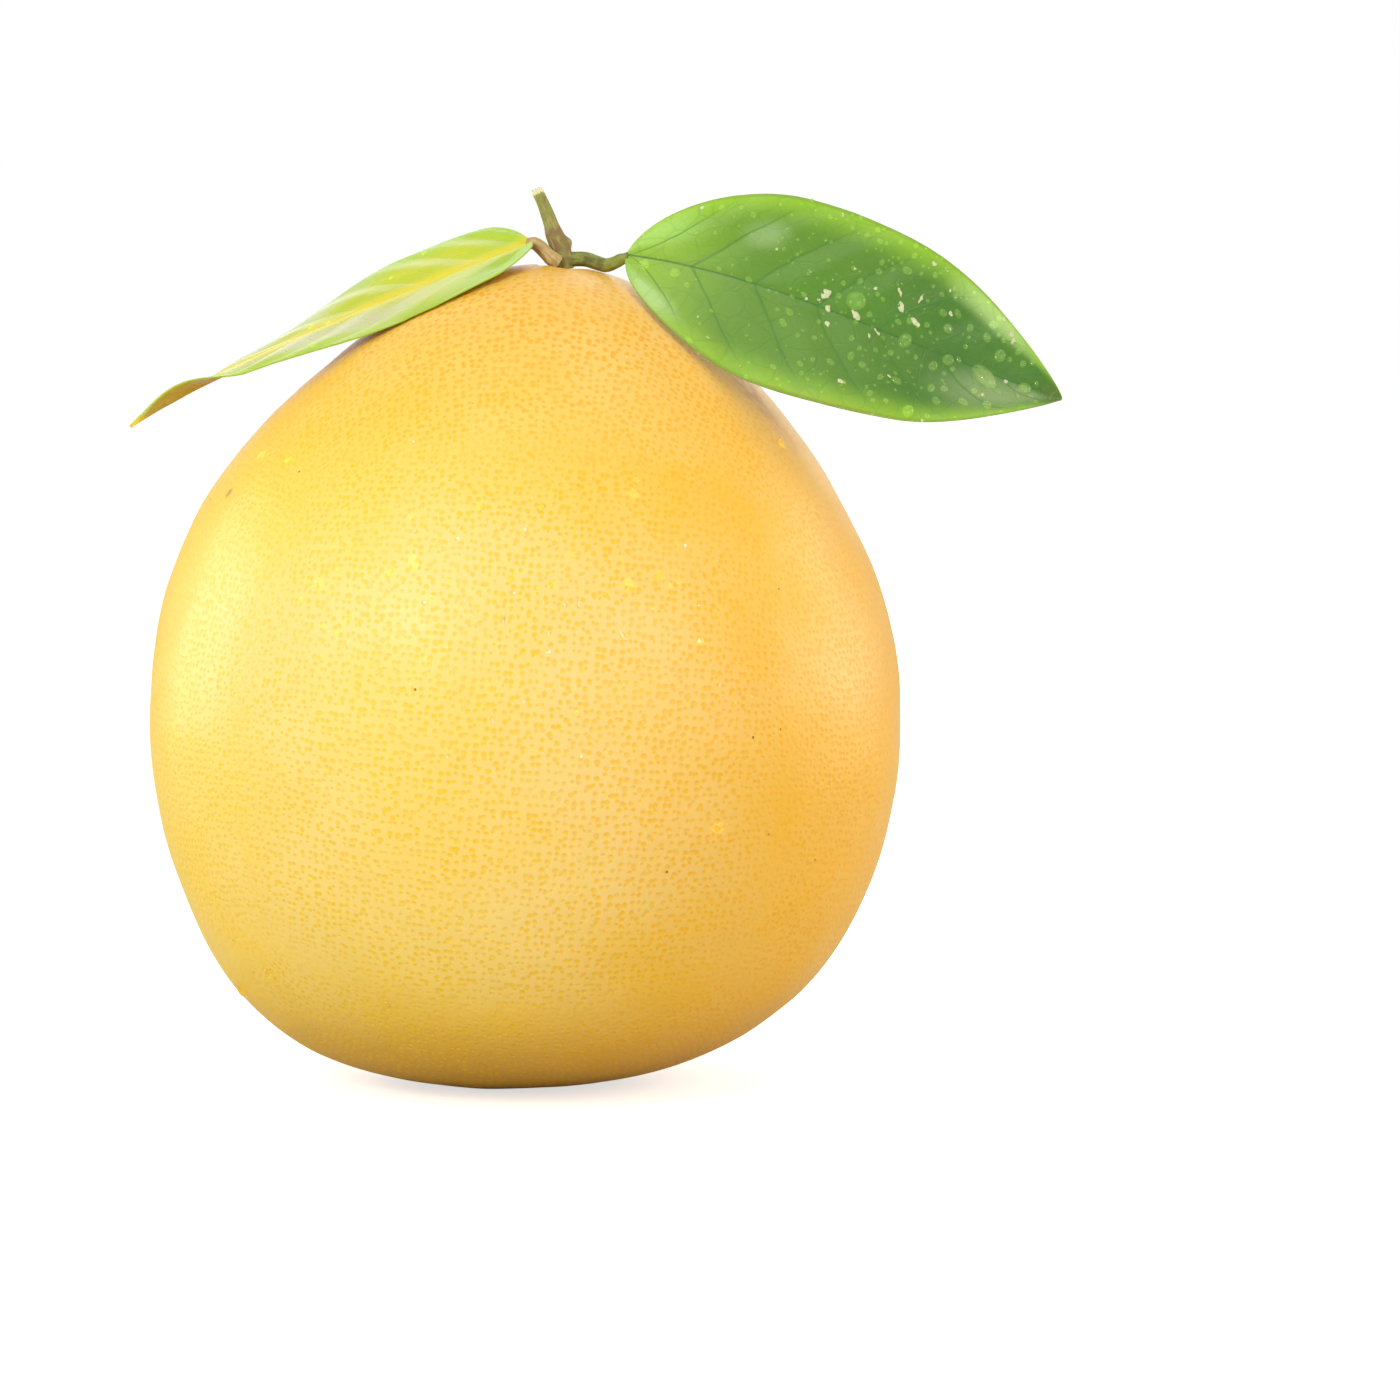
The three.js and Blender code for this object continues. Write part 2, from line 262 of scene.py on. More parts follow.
def makeFruit():
    form = fruitForm
    shape = bmesh.new()
    bmesh.ops.create_cube(shape, size=2)
    cuts = form["facesPerEdge"] - 1
    bmesh.ops.subdivide_edges(shape, edges=shape.edges[:], cuts=cuts, use_grid_fill=True)
    cube = np.array([v.co for v in shape.verts])
    ways = unit(np.tan(cube * math.pi / 4))
    ways = unit(ways + np.array([0, 0, form["stemCrowding"]]))
    points = ways * rindReach(ways)[:, None]
    dents = np.zeros(len(ways))
    for wide, high in form["unevenness"]:
        dents += [high * noise.noise(Vector(p) / wide) for p in points]
    calmFrom, calmTo = form["calm"]
    calm = smoothStep((np.hypot(points[:, 0], points[:, 1]) - calmFrom) / (calmTo - calmFrom))
    points += ways * (dents * calm)[:, None]
    fromHollow = np.hypot(points[:, 0] - form["hollowOffset"], points[:, 1])
    count, depth, start = form["creases"]
    creases = 1 + depth * np.cos(count * np.arctan2(points[:, 1], points[:, 0]) + start)
    sink = form["hollowDepth"] * np.exp(-((fromHollow / (form["hollowRadius"] * creases)) ** 6))
    points[:, 2] -= np.where(points[:, 2] > 0, sink, 0)
    lying = asItLies(points)
    lying[:, 2] = np.maximum(lying[:, 2], 0)
    faces = [[v.index for v in f.verts] for f in shape.faces]
    shape.free()
    piece = newPiece("pomeloRind", lying, faces)
    # Three flat maps of the skin in mm, one round each axis, and how much each counts at a point.
    shares = np.abs(ways) ** 16
    storeVector(piece, "mapShare", shares / shares.sum(1, keepdims=True))
    for axis, name in enumerate(["mapX", "mapY", "mapZ"]):
        side = np.sign(ways[:, axis]) + (ways[:, axis] == 0)
        angle = np.arccos(np.clip(np.abs(ways[:, axis]), 0, 1))
        flat = np.stack([ways[:, (axis + 1) % 3] * side, ways[:, (axis + 2) % 3]], 1)
        flat = flat / np.maximum(np.linalg.norm(flat, axis=1), 1e-6)[:, None] * angle[:, None]
        flat = flat * form["mapRadius"] + form["mapShift"] * side[:, None]
        storeVector(piece, name, np.column_stack([flat, np.zeros(len(flat))]))
    return piece


fruit = makeFruit()
print("fruit made", len(fruit.data.polygons), "faces")

# Leaves: each hangs on its rib, a cubic curve from stalk to tip, and is rolled, folded and waved
stemEnd = asItLies([0, 0, fruitForm["reaches"][0]])[0]
rightLeafForm = {
    "rib": [(13.0, -5.4, 2.1), (43.5, -15.8, -1.7), (71.2, -9.9, -17.8), (99.0, -10.4, -26.1)],
    "sides": (23.4, 23.8),
    "baseFullness": 0.64,
    "tipFullness": 0.86,
    "roll": [48.8, 52.2, 56, 50],
    "fold": [3.5, 3, 7.5, 13],
    "cup": [-0.08, 0, 0, 0],
    "wave": (0.5, 2.2, 0.6),  # mm high, waves along the leaf, start
}
leftLeafForm = {
    "rib": [(-6.1, -0.3, 4.8), (-25.5, -4.7, -3.8), (-69.4, 9.1, -19.2), (-86.2, 0.8, -32.0)],
    "sides": (18.8, 18.8),
    "baseFullness": 0.56,
    "tipFullness": 1.48,
    "roll": [-14, -18.5, -12.5, 51],
    "fold": [11, 8.5, -1.5, 23],
    "cup": [0.04, 0.06, 0.03, 0],
    "wave": (0.4, 1.8, 2.4),
}
bladeForm = {
    "rows": 168,
    "columns": 92,
    "ribEndWidth": 0.7,
    "thickness": 0.5,
    "edgeThickness": 0.3,
    "ribThickness": 1.0,
    "ribWidth": 1.3,
    "sideVeins": 7,
    "veinSweep": 0.2,
    "quiltDepth": 0.28,
    "veinGroove": 0.09,
    "ribGroove": 0.16,
    "crinkle": [(9, 0.12), (3.2, 0.035)],  # mm wide, mm high
    "veinHalfWidth": 0.9,
    "ribHalfWidth": 0.8,
    "veinUnder": 0.10,  # mm that the side veins stand out underneath
    "pointFrom": 0.95,  # share of the length where the blade's end draws in to a point
}


def bladeShare(leaf, share):  # half width along the leaf, as a share of the widest
    base, tip = leaf["baseFullness"], leaf["tipFullness"]
    widest = base / (base + tip)
    return share ** base * (1 - share) ** tip / (widest ** base * (1 - widest) ** tip)


def leafPoints(leaf, share, across):  # upper and lower skin, and lengths along and across in mm
    rib = np.array(leaf["rib"], dtype=float) + stemEnd
    t = share[:, None]
    back = 1 - t
    middle = back ** 3 * rib[0] + 3 * t * back ** 2 * rib[1] + 3 * t * t * back * rib[2] + t ** 3 * rib[3]
    steps = np.diff(rib, axis=0)
    tangent = unit(back ** 2 * steps[0] + 2 * t * back * steps[1] + t * t * steps[2])
    level = unit(np.cross(tangent, [0, 0, 1]))
    roll = np.radians(through(leaf["roll"], share))[:, None]
    side = level * np.cos(roll) + np.cross(tangent, level) * np.sin(roll)
    normal = np.cross(side, tangent)
    outward = np.abs(across)
    full = bladeShare(leaf, share)
    sideWidth = np.where(across < 0, leaf["sides"][0], leaf["sides"][1])
    pointFrom = bladeForm["pointFrom"]
    pointed = 1 - 0.85 * smoothStep((share - pointFrom) / (1 - pointFrom))
    width = np.maximum(sideWidth * full, bladeForm["ribEndWidth"] * pointed)
    fold = np.radians(through(leaf["fold"], share))
    high, waves, start = leaf["wave"]
    turns = waves * share + np.where(across < 0, 0.5, 0)
    phase = bladeForm["sideVeins"] * (share - bladeForm["veinSweep"] * outward ** 1.2)
    quilt = bladeForm["quiltDepth"] * 4 * outward * (1 - outward) * full * np.cos(2 * np.pi * phase)
    lift = np.sin(fold) * width * outward - through(leaf["cup"], share) * outward ** 2.4 * width
    lift += high * full * outward ** 2 * np.sin(2 * np.pi * turns + start) - quilt
    upper = middle + side * (np.cos(fold) * width * across)[:, None] + normal * lift[:, None]
    # Sunk veins: the side veins fade towards the edge, the rib towards the tip.
    length = np.linalg.norm(rib[3] - rib[0])
    toVein = np.abs(phase - np.round(phase)) / bladeForm["sideVeins"] * length
    near = np.exp(-((toVein / bladeForm["veinHalfWidth"]) ** 2)) * smoothStep(full * 2)
    near *= smoothStep((1 - outward) * 3) * smoothStep(outward * 6)
    ribNear = np.exp(-((width * across / bladeForm["ribHalfWidth"]) ** 2)) * (1 - 0.6 * share)
    upper -= normal * (bladeForm["veinGroove"] * near + bladeForm["ribGroove"] * ribNear)[:, None]
    ridge = np.exp(-((width * across / bladeForm["ribWidth"]) ** 2)) * (1 - 0.75 * share)
    edge = bladeForm["edgeThickness"] / bladeForm["thickness"]
    thickness = bladeForm["thickness"] * (1 - (1 - edge) * outward ** 5) + bladeForm["ribThickness"] * ridge
    lower = upper - normal * (thickness + bladeForm["veinUnder"] * near)[:, None]
    return upper, lower, normal, share * length, width * across


def makeLeaf(name, leaf):
    rows, columns = bladeForm["rows"], bladeForm["columns"]
    even = np.linspace(0, 1, rows + 1)
    shares = even * 0.4 + (1 - np.cos(np.pi * even)) / 2 * 0.6
    acrossShares = np.linspace(-1, 1, columns + 1)
    share, across = (grid.ravel() for grid in np.meshgrid(shares, acrossShares, indexing="ij"))
    upper, lower, normal, alongMm, acrossMm = leafPoints(leaf, share, across)
    crinkle = np.zeros(len(upper))
    for wide, high in bladeForm["crinkle"]:
        crinkle += [high * noise.noise(Vector(p) / wide) for p in upper]
    crinkle *= smoothStep(bladeShare(leaf, share) * 2)
    upper += normal * crinkle[:, None]
    lower += normal * crinkle[:, None]
    wide = columns + 1
    under = len(upper)
    faces = []
    for i in range(rows):
        for j in range(columns):
            a = i * wide + j
            faces.append((a, a + 1, a + wide + 1, a + wide))
            faces.append((under + a, under + a + wide, under + a + wide + 1, under + a + 1))
        first, last = i * wide, i * wide + columns
        faces.append((first, first + wide, under + first + wide, under + first))
        faces.append((last + wide, last, under + last, under + last + wide))
    tip = rows * wide
    for j in range(columns):
        faces.append((j + 1, j, under + j, under + j + 1))
        faces.append((tip + j, tip + j + 1, under + tip + j + 1, under + tip + j))
    piece = newPiece(name, np.concatenate([upper, lower]), faces)
    flat = np.stack([alongMm, acrossMm, np.zeros(under)], 1)
    storeVector(piece, "bladeMm", np.concatenate([flat, flat + [0, 0, 30]]))
    place = np.stack([share, across, np.ones(under)], 1)
    storeVector(piece, "bladeShare", np.concatenate([place, place * [1, 1, 0]]))
    return piece


# How a leaf's near half droops towards the rind, as far as the gap allows
droopForm = {
    "gap": 0.45,  # mm that stay clear over the rind
    "most": 1.7,  # mm
    "endsAt": 0.62,  # share of the leaf's length
    "easesOver": (0.12, 0.3),  # shares of the length at its start and at its end
    "reachesFull": 0.625,  # share of the half width
}


def droop(piece):
    form = droopForm
    points = np.array([v.co for v in piece.data.vertices])
    places = np.array([item.vector for item in piece.data.attributes["bladeShare"].data])
    under = len(points) // 2
    easeIn, easeOut = form["easesOver"]
    for i in range(under):
        share, across = places[i][:2]
        eased = smoothStep(np.array([
            -across / form["reachesFull"], (form["endsAt"] - share) / easeOut, share / easeIn]))
        weight = float(eased.prod())
        if weight > 0:
            found, spot, normal, face = fruit.closest_point_on_mesh(Vector(points[under + i]))
            clear = (Vector(points[under + i]) - spot).dot(normal) / mm - form["gap"]
            shift = np.array(normal) * min(max(clear, 0), form["most"]) * weight * mm
            points[i] -= shift
            points[under + i] -= shift
    piece.data.vertices.foreach_set("co", points.ravel())
    piece.data.update()


leafRight = makeLeaf("greenLeaf", rightLeafForm)
leafLeft = makeLeaf("youngLeaf", leftLeafForm)
bpy.context.view_layer.update()
droop(leafLeft)
print("leaves made", len(leafRight.data.polygons), "faces each")

# Stem and stalks: round rods with woody ridges, along smooth lines from the stem end
stemForm = {
    "line": [
        (0.7, 0, -0.9), (0.24, 0, 1.41), (-0.26, 0, 3.21), (-1.46, 0, 6.31),
        (-2.96, 0, 10.51), (-4.86, 0, 14.81),
    ],
    "radii": [1.9, 1.8, 1.75, 1.42, 1.2, 1.12],
    "ridges": [(7, 0.045), (11, 0.03)],  # count round the rod, share of the radius
    "bumps": [  # share of the length, reach, turned towards, tightness, mm high
        (0.29, 0.07, (1, 0, 0.35), 5, 0.95),
        (0.13, 0.06, (0.9, -0.4, 0), 2, 0.45),
        (0.12, 0.07, (-0.8, -0.6, 0), 2, 0.4),
    ],
    "roughness": 0.09,
    "cutRoughness": 0.5,
}
leftStalkForm = {
    "line": [
        (-0.7, -1.9, 0.4), (-2.0, -2.3, 1.3), (-3.2, -1.9, 2.5), (-4.3, -1.2, 3.55),
        (-5.3, -0.8, 4.2), (-6.8, -0.45, 4.6),
    ],
    "radii": [1.6, 1.5, 1.38, 1.3, 1.2, 0.8],
    "ridges": [(9, 0.05), (4, 0.03)],
    "bumps": [(0.18, 0.05, (0.2, -1, 0.2), 1, 0.22), (0.3, 0.04, (0.2, -1, 0.2), 1, 0.14)],
    "roughness": 0.1,
}
rightStalkForm = {
    "line": [
        (1.6, -0.1, 1.0), (4.64, -0.8, 1.11), (6.84, -2, 0.46), (8.94, -3.5, -0.09),
        (10.64, -4.5, 0.41), (13.4, -5.5, 1.7),
    ],
    "radii": [1.5, 1.42, 1.38, 1.34, 1.22, 0.9],
    "ridges": [(6, 0.035), (9, 0.02)],
    "bumps": [(0.88, 0.05, (0, 0, 1), 1, 0.18)],
    "roughness": 0.05,
}


def evenLine(points, count):  # a smooth line through the points, cut into even steps
    points = np.array(points, dtype=float)
    ends = np.vstack([2 * points[0] - points[1], points, 2 * points[-1] - points[-2]])
    fine = []
    for i in range(len(points) - 1):
        a, b, c, d = ends[i:i + 4]
        t = np.linspace(0, 1, 60, endpoint=i == len(points) - 2)[:, None]
        bend, twist = 2 * a - 5 * b + 4 * c - d, 3 * b - a - 3 * c + d
        fine.append(0.5 * (2 * b + (c - a) * t + bend * t ** 2 + twist * t ** 3))
    fine = np.vstack(fine)
    lengths = np.concatenate([[0], np.cumsum(np.linalg.norm(np.diff(fine, axis=0), axis=1))])
    at = np.linspace(0, lengths[-1], count)
    return np.stack([np.interp(at, lengths, fine[:, k]) for k in range(3)], 1), lengths[-1]


grainLength = 2.6  # mm, of the bark's unevenness along a rod
endRings = [(0.9, 0.06), (0.62, 0.02), (0.3, -0.04)]  # share of the radius, mm past the end


def makeRod(name, form, steps, facets, cutEnd=False):
    line, length = evenLine(np.array(form["line"]) + stemEnd, steps + 1)
    tangents = unit(np.gradient(line, axis=0))
    across = unit(np.cross(tangents[0], [0, 1, 0]))
    points, straight = [], []
    for i in range(steps + 1):
        across = unit(across - tangents[i] * (across @ tangents[i]))
        beside = np.cross(tangents[i], across)
        share = i / steps
        radius = float(through(form["radii"], np.array([share]))[0])
        for j in range(facets):
            turn = 2 * math.pi * j / facets
            way = across * math.cos(turn) + beside * math.sin(turn)
            out = radius
            for count, depth in form["ridges"]:
                out += radius * depth * math.sin(count * turn + 2.2 * math.sin(5 * share + count))
            for along, spread, towards, tightness, high in form["bumps"]:
                facing = max(float(way @ unit(np.array(towards, dtype=float))), 0) ** tightness
                out += high * facing * math.exp(-(((share - along) / spread) ** 2))
            grain = Vector((share * length / grainLength, math.cos(turn) * 2.2, math.sin(turn) * 2.2))
            out += form["roughness"] * noise.noise(grain)
            points.append(line[i] + way * out)
            straight.append((share * length, radius * math.cos(turn), radius * math.sin(turn)))
    faces = []
    for i in range(steps):
        for j in range(facets):
            a, b = i * facets + j, i * facets + (j + 1) % facets
            faces.append((a, b, b + facets, a + facets))
    barkFaces = len(faces)
    # Ends: rings that draw in to a middle point, a little ragged where the stem was cut.
    for at, way in ((0, -1), (steps, 1)):
        ring = [at * facets + j for j in range(facets)]
        for draw, rise in endRings:
            start = len(points)
            for j in range(facets):
                edge = points[at * facets + j]
                point = line[at] + (edge - line[at]) * draw + tangents[at] * way * rise
                if cutEnd and way > 0:
                    ragged = form["cutRoughness"] * noise.noise(Vector((j * 0.55, draw * 4, 3)))
                    point = point + tangents[at] * ragged
                points.append(point)
                straight.append((at / steps * length + way * (1 - draw), 0, 0))
            newRing = list(range(start, start + facets))
            for j in range(facets):
                n = (j + 1) % facets
                quad = (ring[j], ring[n], newRing[n], newRing[j])
                faces.append(quad if way > 0 else quad[::-1])
            ring = newRing
        points.append(line[at])
        straight.append((at / steps * length + way, 0, 0))
        for j in range(facets):
            corner = (ring[j], ring[(j + 1) % facets], len(points) - 1)
            faces.append(corner if way > 0 else corner[::-1])
    piece = newPiece(name, points, faces)
    storeVector(piece, "alongGrain", straight)
    if cutEnd:
        headFaces = (len(faces) - barkFaces) // 2
        for polygon in list(piece.data.polygons)[-headFaces:]:
            polygon.material_index = 1
    return piece


# Button: the lobed woody disc that the fruit hung from, lying in the hollow
buttonForm = {
    "profile": [  # radius and height in mm
        (0, -0.35), (2.2, -0.35), (3.2, -0.2), (3.55, 0.15), (3.45, 0.5), (2.9, 0.75), (2.3, 0.85),
        (1.2, 0.95), (0, 0.98),
    ],
    "facets": 90,
    "lobes": 5,
    "lobeDepth": 0.12,
    "lobesFrom": (1.4, 3.5),  # mm from the middle: where the lobes begin and where they are full
    "wrinkle": 0.12,
    "height": 85.45,
}


def makeButton():
    form = buttonForm
    facets = form["facets"]
    points, faces = [], []
    rings = form["profile"][1:-1]
    inner, outer = form["lobesFrom"]
    for radius, height in rings:
        lobed = form["lobeDepth"] * float(smoothStep(np.array((radius - inner) / (outer - inner))))
        for j in range(facets):
            turn = 2 * math.pi * j / facets
            r = radius * (1 + lobed * (math.cos(form["lobes"] * turn) - 1))
            wrinkle = form["wrinkle"] * noise.noise(Vector((turn * 3, radius * 0.7, 1.5)))
            x = fruitForm["hollowOffset"] + r * math.cos(turn)
            points.append((x, r * math.sin(turn), form["height"] + height + wrinkle))
    for i in range(len(rings) - 1):
        for j in range(facets):
            a, b = i * facets + j, i * facets + (j + 1) % facets
            faces.append((a, b, b + facets, a + facets))
    for end in (0, -1):
        points.append((fruitForm["hollowOffset"], 0, form["height"] + form["profile"][end][1]))
    low, top = len(points) - 2, len(points) - 1
    last = (len(rings) - 1) * facets
    for j in range(facets):
        n = (j + 1) % facets
        faces.append((low, n, j))
        faces.append((top, last + j, last + n))
    return newPiece("button", asItLies(np.array(points)), faces)


button = makeButton()
stem = makeRod("cutStem", stemForm, 110, 44, cutEnd=True)
stalkLeft = makeRod("brownStalk", leftStalkForm, 70, 40)
stalkRight = makeRod("oliveStalk", rightStalkForm, 80, 36)
print("button, stem and stalks made")

# Rind: the waxed skin of a ripe pomelo as it grew. The eye sees a satin, slightly see-through
# yellow skin, dotted with the deeper yellow of the oil glands, each in a shallow dimple.
rindLook = {
    "glandSpacing": 1.6,  # mm between the middles of the oil glands
    "glandScatter": 0.66,
    "glandRadius": (0.18, 0.33),  # as a share of the spacing
    "glandSoftness": 0.15,
    "wander": (14, 1.4),  # mm wide and far: how the rows of glands stray
    "ground": "fbd026", "groundRight": "fabd32", "groundTop": "fac250",
    # The pale tones serve the skin's pale clouds and the painted sheen; the peach right-hand one is a
    # painted highlight.
    "groundPaleAndSheen": "fbdc84", "groundPaleAndSheenRight": "fbd088", "groundFootShade": "e0a01c",
    "gland": "fcce00", "glandRight": "fcb600", "glandTop": "fbac00",
    "foot": "b89a4a",
    "rightSpan": (-25, 75), "topSpan": (105, 165), "footShadeSpan": (28, 2),  # mm, where each tone sets in
    # The foot tone is painted shade, darker orange towards the floor.
    "footStrength": 0.6,
    "clouds": (26, 0.28),  # mm wide, strength of the paler clouds
    "paintedSheen": (-14, -72, 74),  # mm, the middle of the painted sheen, where the side towards the front lights is painted paler
    "paintedSheenSpan": (84, 30), "paintedSheenStrength": 0.68,  # mm from that middle
    "prick": "9a6a18", "prickSpacing": 10,
    "stemSpan": (7, 2.5),  # mm from the button where the skin turns dull
    "scuffsAndLeafShade": [  # colour, strength, reach in mm and the photo's pixel where it is seen
        # the first three, under the green leaf, paint its shadow over a brownish patch; the last is a
        # scratch
        ("c87c1e", 0.62, 7.5, (746, 386)), ("cc8222", 0.52, 7.0, (766, 410)),
        ("d28c28", 0.42, 6.0, (786, 438)), ("b05a28", 0.70, 1.6, (229, 493)),
    ],
    "dotChange": 9, "scuffGrain": 2.2, "skinGrain": 1.1,  # mm, how wide each kind of change is
    "dotsFadeOnPaleAndSheen": 0.22,  # how much weaker the dots are on pale skin and under the painted sheen
    "dimple": 0.1,  # mm deep
    "roughness": 0.42,
}


def makeRind():
    look = rindLook
    strayWidth, stray = look["wander"]
    cloudWidth, cloudStrength = look["clouds"]
    material, add = newMaterial("waxyPomeloRind")
    place = add("TexCoord").outputs["Object"]
    parts = add("SeparateXYZ", {}, [place])
    wander = add("TexNoise", {}, {"Vector": place, "Scale": 1 / (strayWidth * mm), "Detail": 1.0})
    wander = add("VectorMath", timesPlus, [
        wander.outputs["Color"], (stray, stray, 0), (-stray / 2, -stray / 2, 0)])
    shares = add("Attribute", {"attribute_name": "mapShare"})
    shares = add("SeparateXYZ", {}, [shares.outputs["Vector"]])
    glands = None
    for axis, name in enumerate(["mapX", "mapY", "mapZ"]):
        flat = add("Attribute", {"attribute_name": name})
        flat = add("VectorMath", plus, [flat.outputs["Vector"], wander])
        cells = add("TexVoronoi", {"voronoi_dimensions": "2D"}, {
            "Vector": flat, "Scale": 1 / look["glandSpacing"], "Randomness": look["glandScatter"]})
        draw = add("SeparateXYZ", {}, [cells.outputs["Color"]])
        radius = add("MapRange", softly, [
            draw.outputs[0], 0, 1, look["glandRadius"][0], look["glandRadius"][1]])
        inner = add("Math", minus, [radius, look["glandSoftness"]])
        outer = add("Math", plus, [radius, look["glandSoftness"]])
        dot = add("MapRange", softly, [cells.outputs["Distance"], outer, inner])
        dot = add("Math", times, [dot, shares.outputs[axis]])
        glands = dot if glands is None else add("Math", plus, [glands, dot])
    # Ground colour: lemon on the left, deeper orange on the right and towards the stem end, and darker
    # orange at the foot, a painted shade towards the floor.
    rightness, topness, footShade = (
        add("MapRange", softly, [parts.outputs[axis], span[0] * mm, span[1] * mm, 0.0, full])
        for axis, span, full in (("X", look["rightSpan"], 1.0), ("Z", look["topSpan"], 1.0),
                                 ("Z", look["footShadeSpan"], look["footStrength"])))
    # The pale tint, for the pale clouds and the painted sheen, turns peach on the right: a painted
    # highlight of the right-hand light.
    pale = add("Mix", rgba, {
        "Factor": rightness, "A": linear(look["groundPaleAndSheen"]), "B": linear(look["groundPaleAndSheenRight"])})
    clouds = add("TexNoise", {}, {"Vector": place, "Scale": 1 / (cloudWidth * mm), "Detail": 3.0})
    palenessAndSheen = add("MapRange", softly, [clouds.outputs["Fac"], 0.35, 0.68, 0.0, cloudStrength])
    # Painted sheen: the side towards the viewer and the front lights is painted paler than the shoulders
    # and the foot, for the broad highlight of those lights.
    paintedSheen = add("VectorMath", apart, [place, tuple(v * mm for v in look["paintedSheen"])])
    paintedSheen = add("MapRange", softly, [
        paintedSheen.outputs["Value"], look["paintedSheenSpan"][0] * mm, look["paintedSheenSpan"][1] * mm, 0.0,
        look["paintedSheenStrength"]])
    palenessAndSheen = add("Math", plus, [palenessAndSheen, paintedSheen])
    ground, glandColour = linear(look["ground"]), linear(look["gland"])
    for share, tint in ((rightness, linear(look["groundRight"])), (topness, linear(look["groundTop"])),
                        (palenessAndSheen, pale), (footShade, linear(look["groundFootShade"]))):
        ground = add("Mix", rgba, {"Factor": share, "A": ground, "B": tint})
    for share, tint in ((rightness, "glandRight"), (topness, "glandTop")):
        glandColour = add("Mix", rgba, {"Factor": share, "A": glandColour, "B": linear(look[tint])})
    strength = add("TexNoise", {}, {"Vector": place, "Scale": 1 / (look["dotChange"] * mm), "Detail": 1.0})
    strength = add("MapRange", softly, [strength.outputs["Fac"], 0.3, 0.65, 0.65, 1.0])
    # The dots are faint where the skin is pale: in its pale clouds, and under the painted sheen, where they
    # stand for dots washed out by the highlight.
    faint = add("Math", timesPlus, [palenessAndSheen, -look["dotsFadeOnPaleAndSheen"], 1.0])
    strength = add("Math", times, [strength, faint])
    strength = add("Math", times, [strength, glands])
    colour = add("Mix", rgba, {"Factor": strength, "A": ground, "B": glandColour})
    # A rare dark speck, a third of a millimetre wide, where an insect pricked the skin.
    pricks = add("TexVoronoi", {}, {
        "Vector": place, "Scale": 1 / (look["prickSpacing"] * mm), "Randomness": 1.0})
    prick = add("MapRange", softly, [pricks.outputs["Distance"], 0.035, 0.02])
    colour = add("Mix", rgba, {"Factor": prick, "A": colour, "B": linear(look["prick"])})
    # Broken brown marks: the three under the green leaf paint its shadow over a brownish patch of the skin;
    # the one at the left is a red-brown scratch.
    broken = add("TexNoise", {}, {"Vector": place, "Scale": 1 / (look["scuffGrain"] * mm), "Detail": 4.0})
    for tint, strong, reach, pixel in look["scuffsAndLeafShade"]:
        middle, facing = seenAt(fruit, *pixel)
        if middle is None:
            continue
        off = add("VectorMath", apart, [place, tuple(middle)])
        near = add("MapRange", softly, [off.outputs["Value"], reach * mm, 0.2 * reach * mm, 0.0, 1.0])
        mark = add("MapRange", softly, [broken.outputs["Fac"], 0.36, 0.6, 0.25 * strong, strong])
        mark = add("Math", times, [mark, near])
        colour = add("Mix", rgba, {"Factor": mark, "A": colour, "B": linear(tint)})
    # Round the button the skin turns dull and brownish green.
    button = add("VectorMath", apart, [place, tuple(Vector(stemEnd) * mm)])
    nearButton = add("MapRange", softly, [
        button.outputs["Value"], look["stemSpan"][0] * mm, look["stemSpan"][1] * mm, 0.0, 0.6])
    colour = add("Mix", rgba, {"Factor": nearButton, "A": colour, "B": linear(look["foot"])})
    # Relief: the dimples over a fine leathery grain.
    grain = add("TexNoise", {}, {"Vector": place, "Scale": 1 / (look["skinGrain"] * mm), "Detail": 3.0})
    low = add("Math", times, [grain.outputs["Fac"], 0.45])
    height = add("Math", minus, [low, glands])
    bump = add("Bump", {}, {"Strength": 1.0, "Distance": look["dimple"] * mm, "Height": height})
    shader = add("BsdfPrincipled", {}, {
        "Base Color": colour, "Roughness": look["roughness"], "IOR": 1.45, "Normal": bump,
        "Specular IOR Level": 0.3, "Coat Weight": 0.4, "Coat Roughness": 0.32, "Coat IOR": 1.45,
        "Subsurface Weight": 0.2, "Subsurface Radius": (1.0, 0.6, 0.12), "Subsurface Scale": 3.5 * mm})
    add("OutputMaterial", {}, {"Surface": shader})
    return material


# Leaves: living citrus leaves with a waxed upper skin. The eye sees a soft gloss, darker sunk
# veins with a fine net between them, and light that comes through the thin blade.
greenLeafLook = {
    "name": "waxyGreenLeaf",
    "base": "6b942e", "deep": "4a782a", "edge": "a0c636", "vein": "44842a", "rib": "437f2a",
    "under": "86ab4c", "rim": "7a9a2c", "tip": "5f7a2c",
    "tonesAndPaintedLight": [  # colour, strength, middle and reach as shares along and across the blade
        # the dark patch near the tip is painted shade on the upper half of the fold; the pale ones along
        # the base edges, the far edge and the lower tip are painted highlights and reflection; the deeper
        # green in the middle and the olive strip on the lower edge are tones
        ("4d7c30", 0.55, (0.80, -0.28), (0.22, 0.45)), ("a2b47c", 0.60, (0.86, 0.42), (0.20, 0.55)),
        ("c3dc96", 0.60, (0.80, -0.85), (0.16, 0.28)), ("b9e080", 0.55, (0.04, -0.65), (0.13, 0.45)),
        ("d6e8b4", 0.22, (0.27, -0.55), (0.07, 0.24)), ("c8e6a8", 0.50, (0.08, 0.78), (0.10, 0.30)),
        ("4e8a2c", 0.30, (0.48, -0.15), (0.26, 0.40)), ("a7ad30", 0.60, (0.52, 1.00), (0.20, 0.10)),
    ],
    "baseSpan": (0.30, 0.0), "deepSpan": (0.25, 0.85), "edgeSpan": (0.62, 1.02),
    "ribFade": (0.34, 0.119), "ribStrength": 0.85,  # mm from the rib where its tone ends and is full
    "veinStrength": 0.55, "netStrength": 0.15, "roughness": 0.30,
}
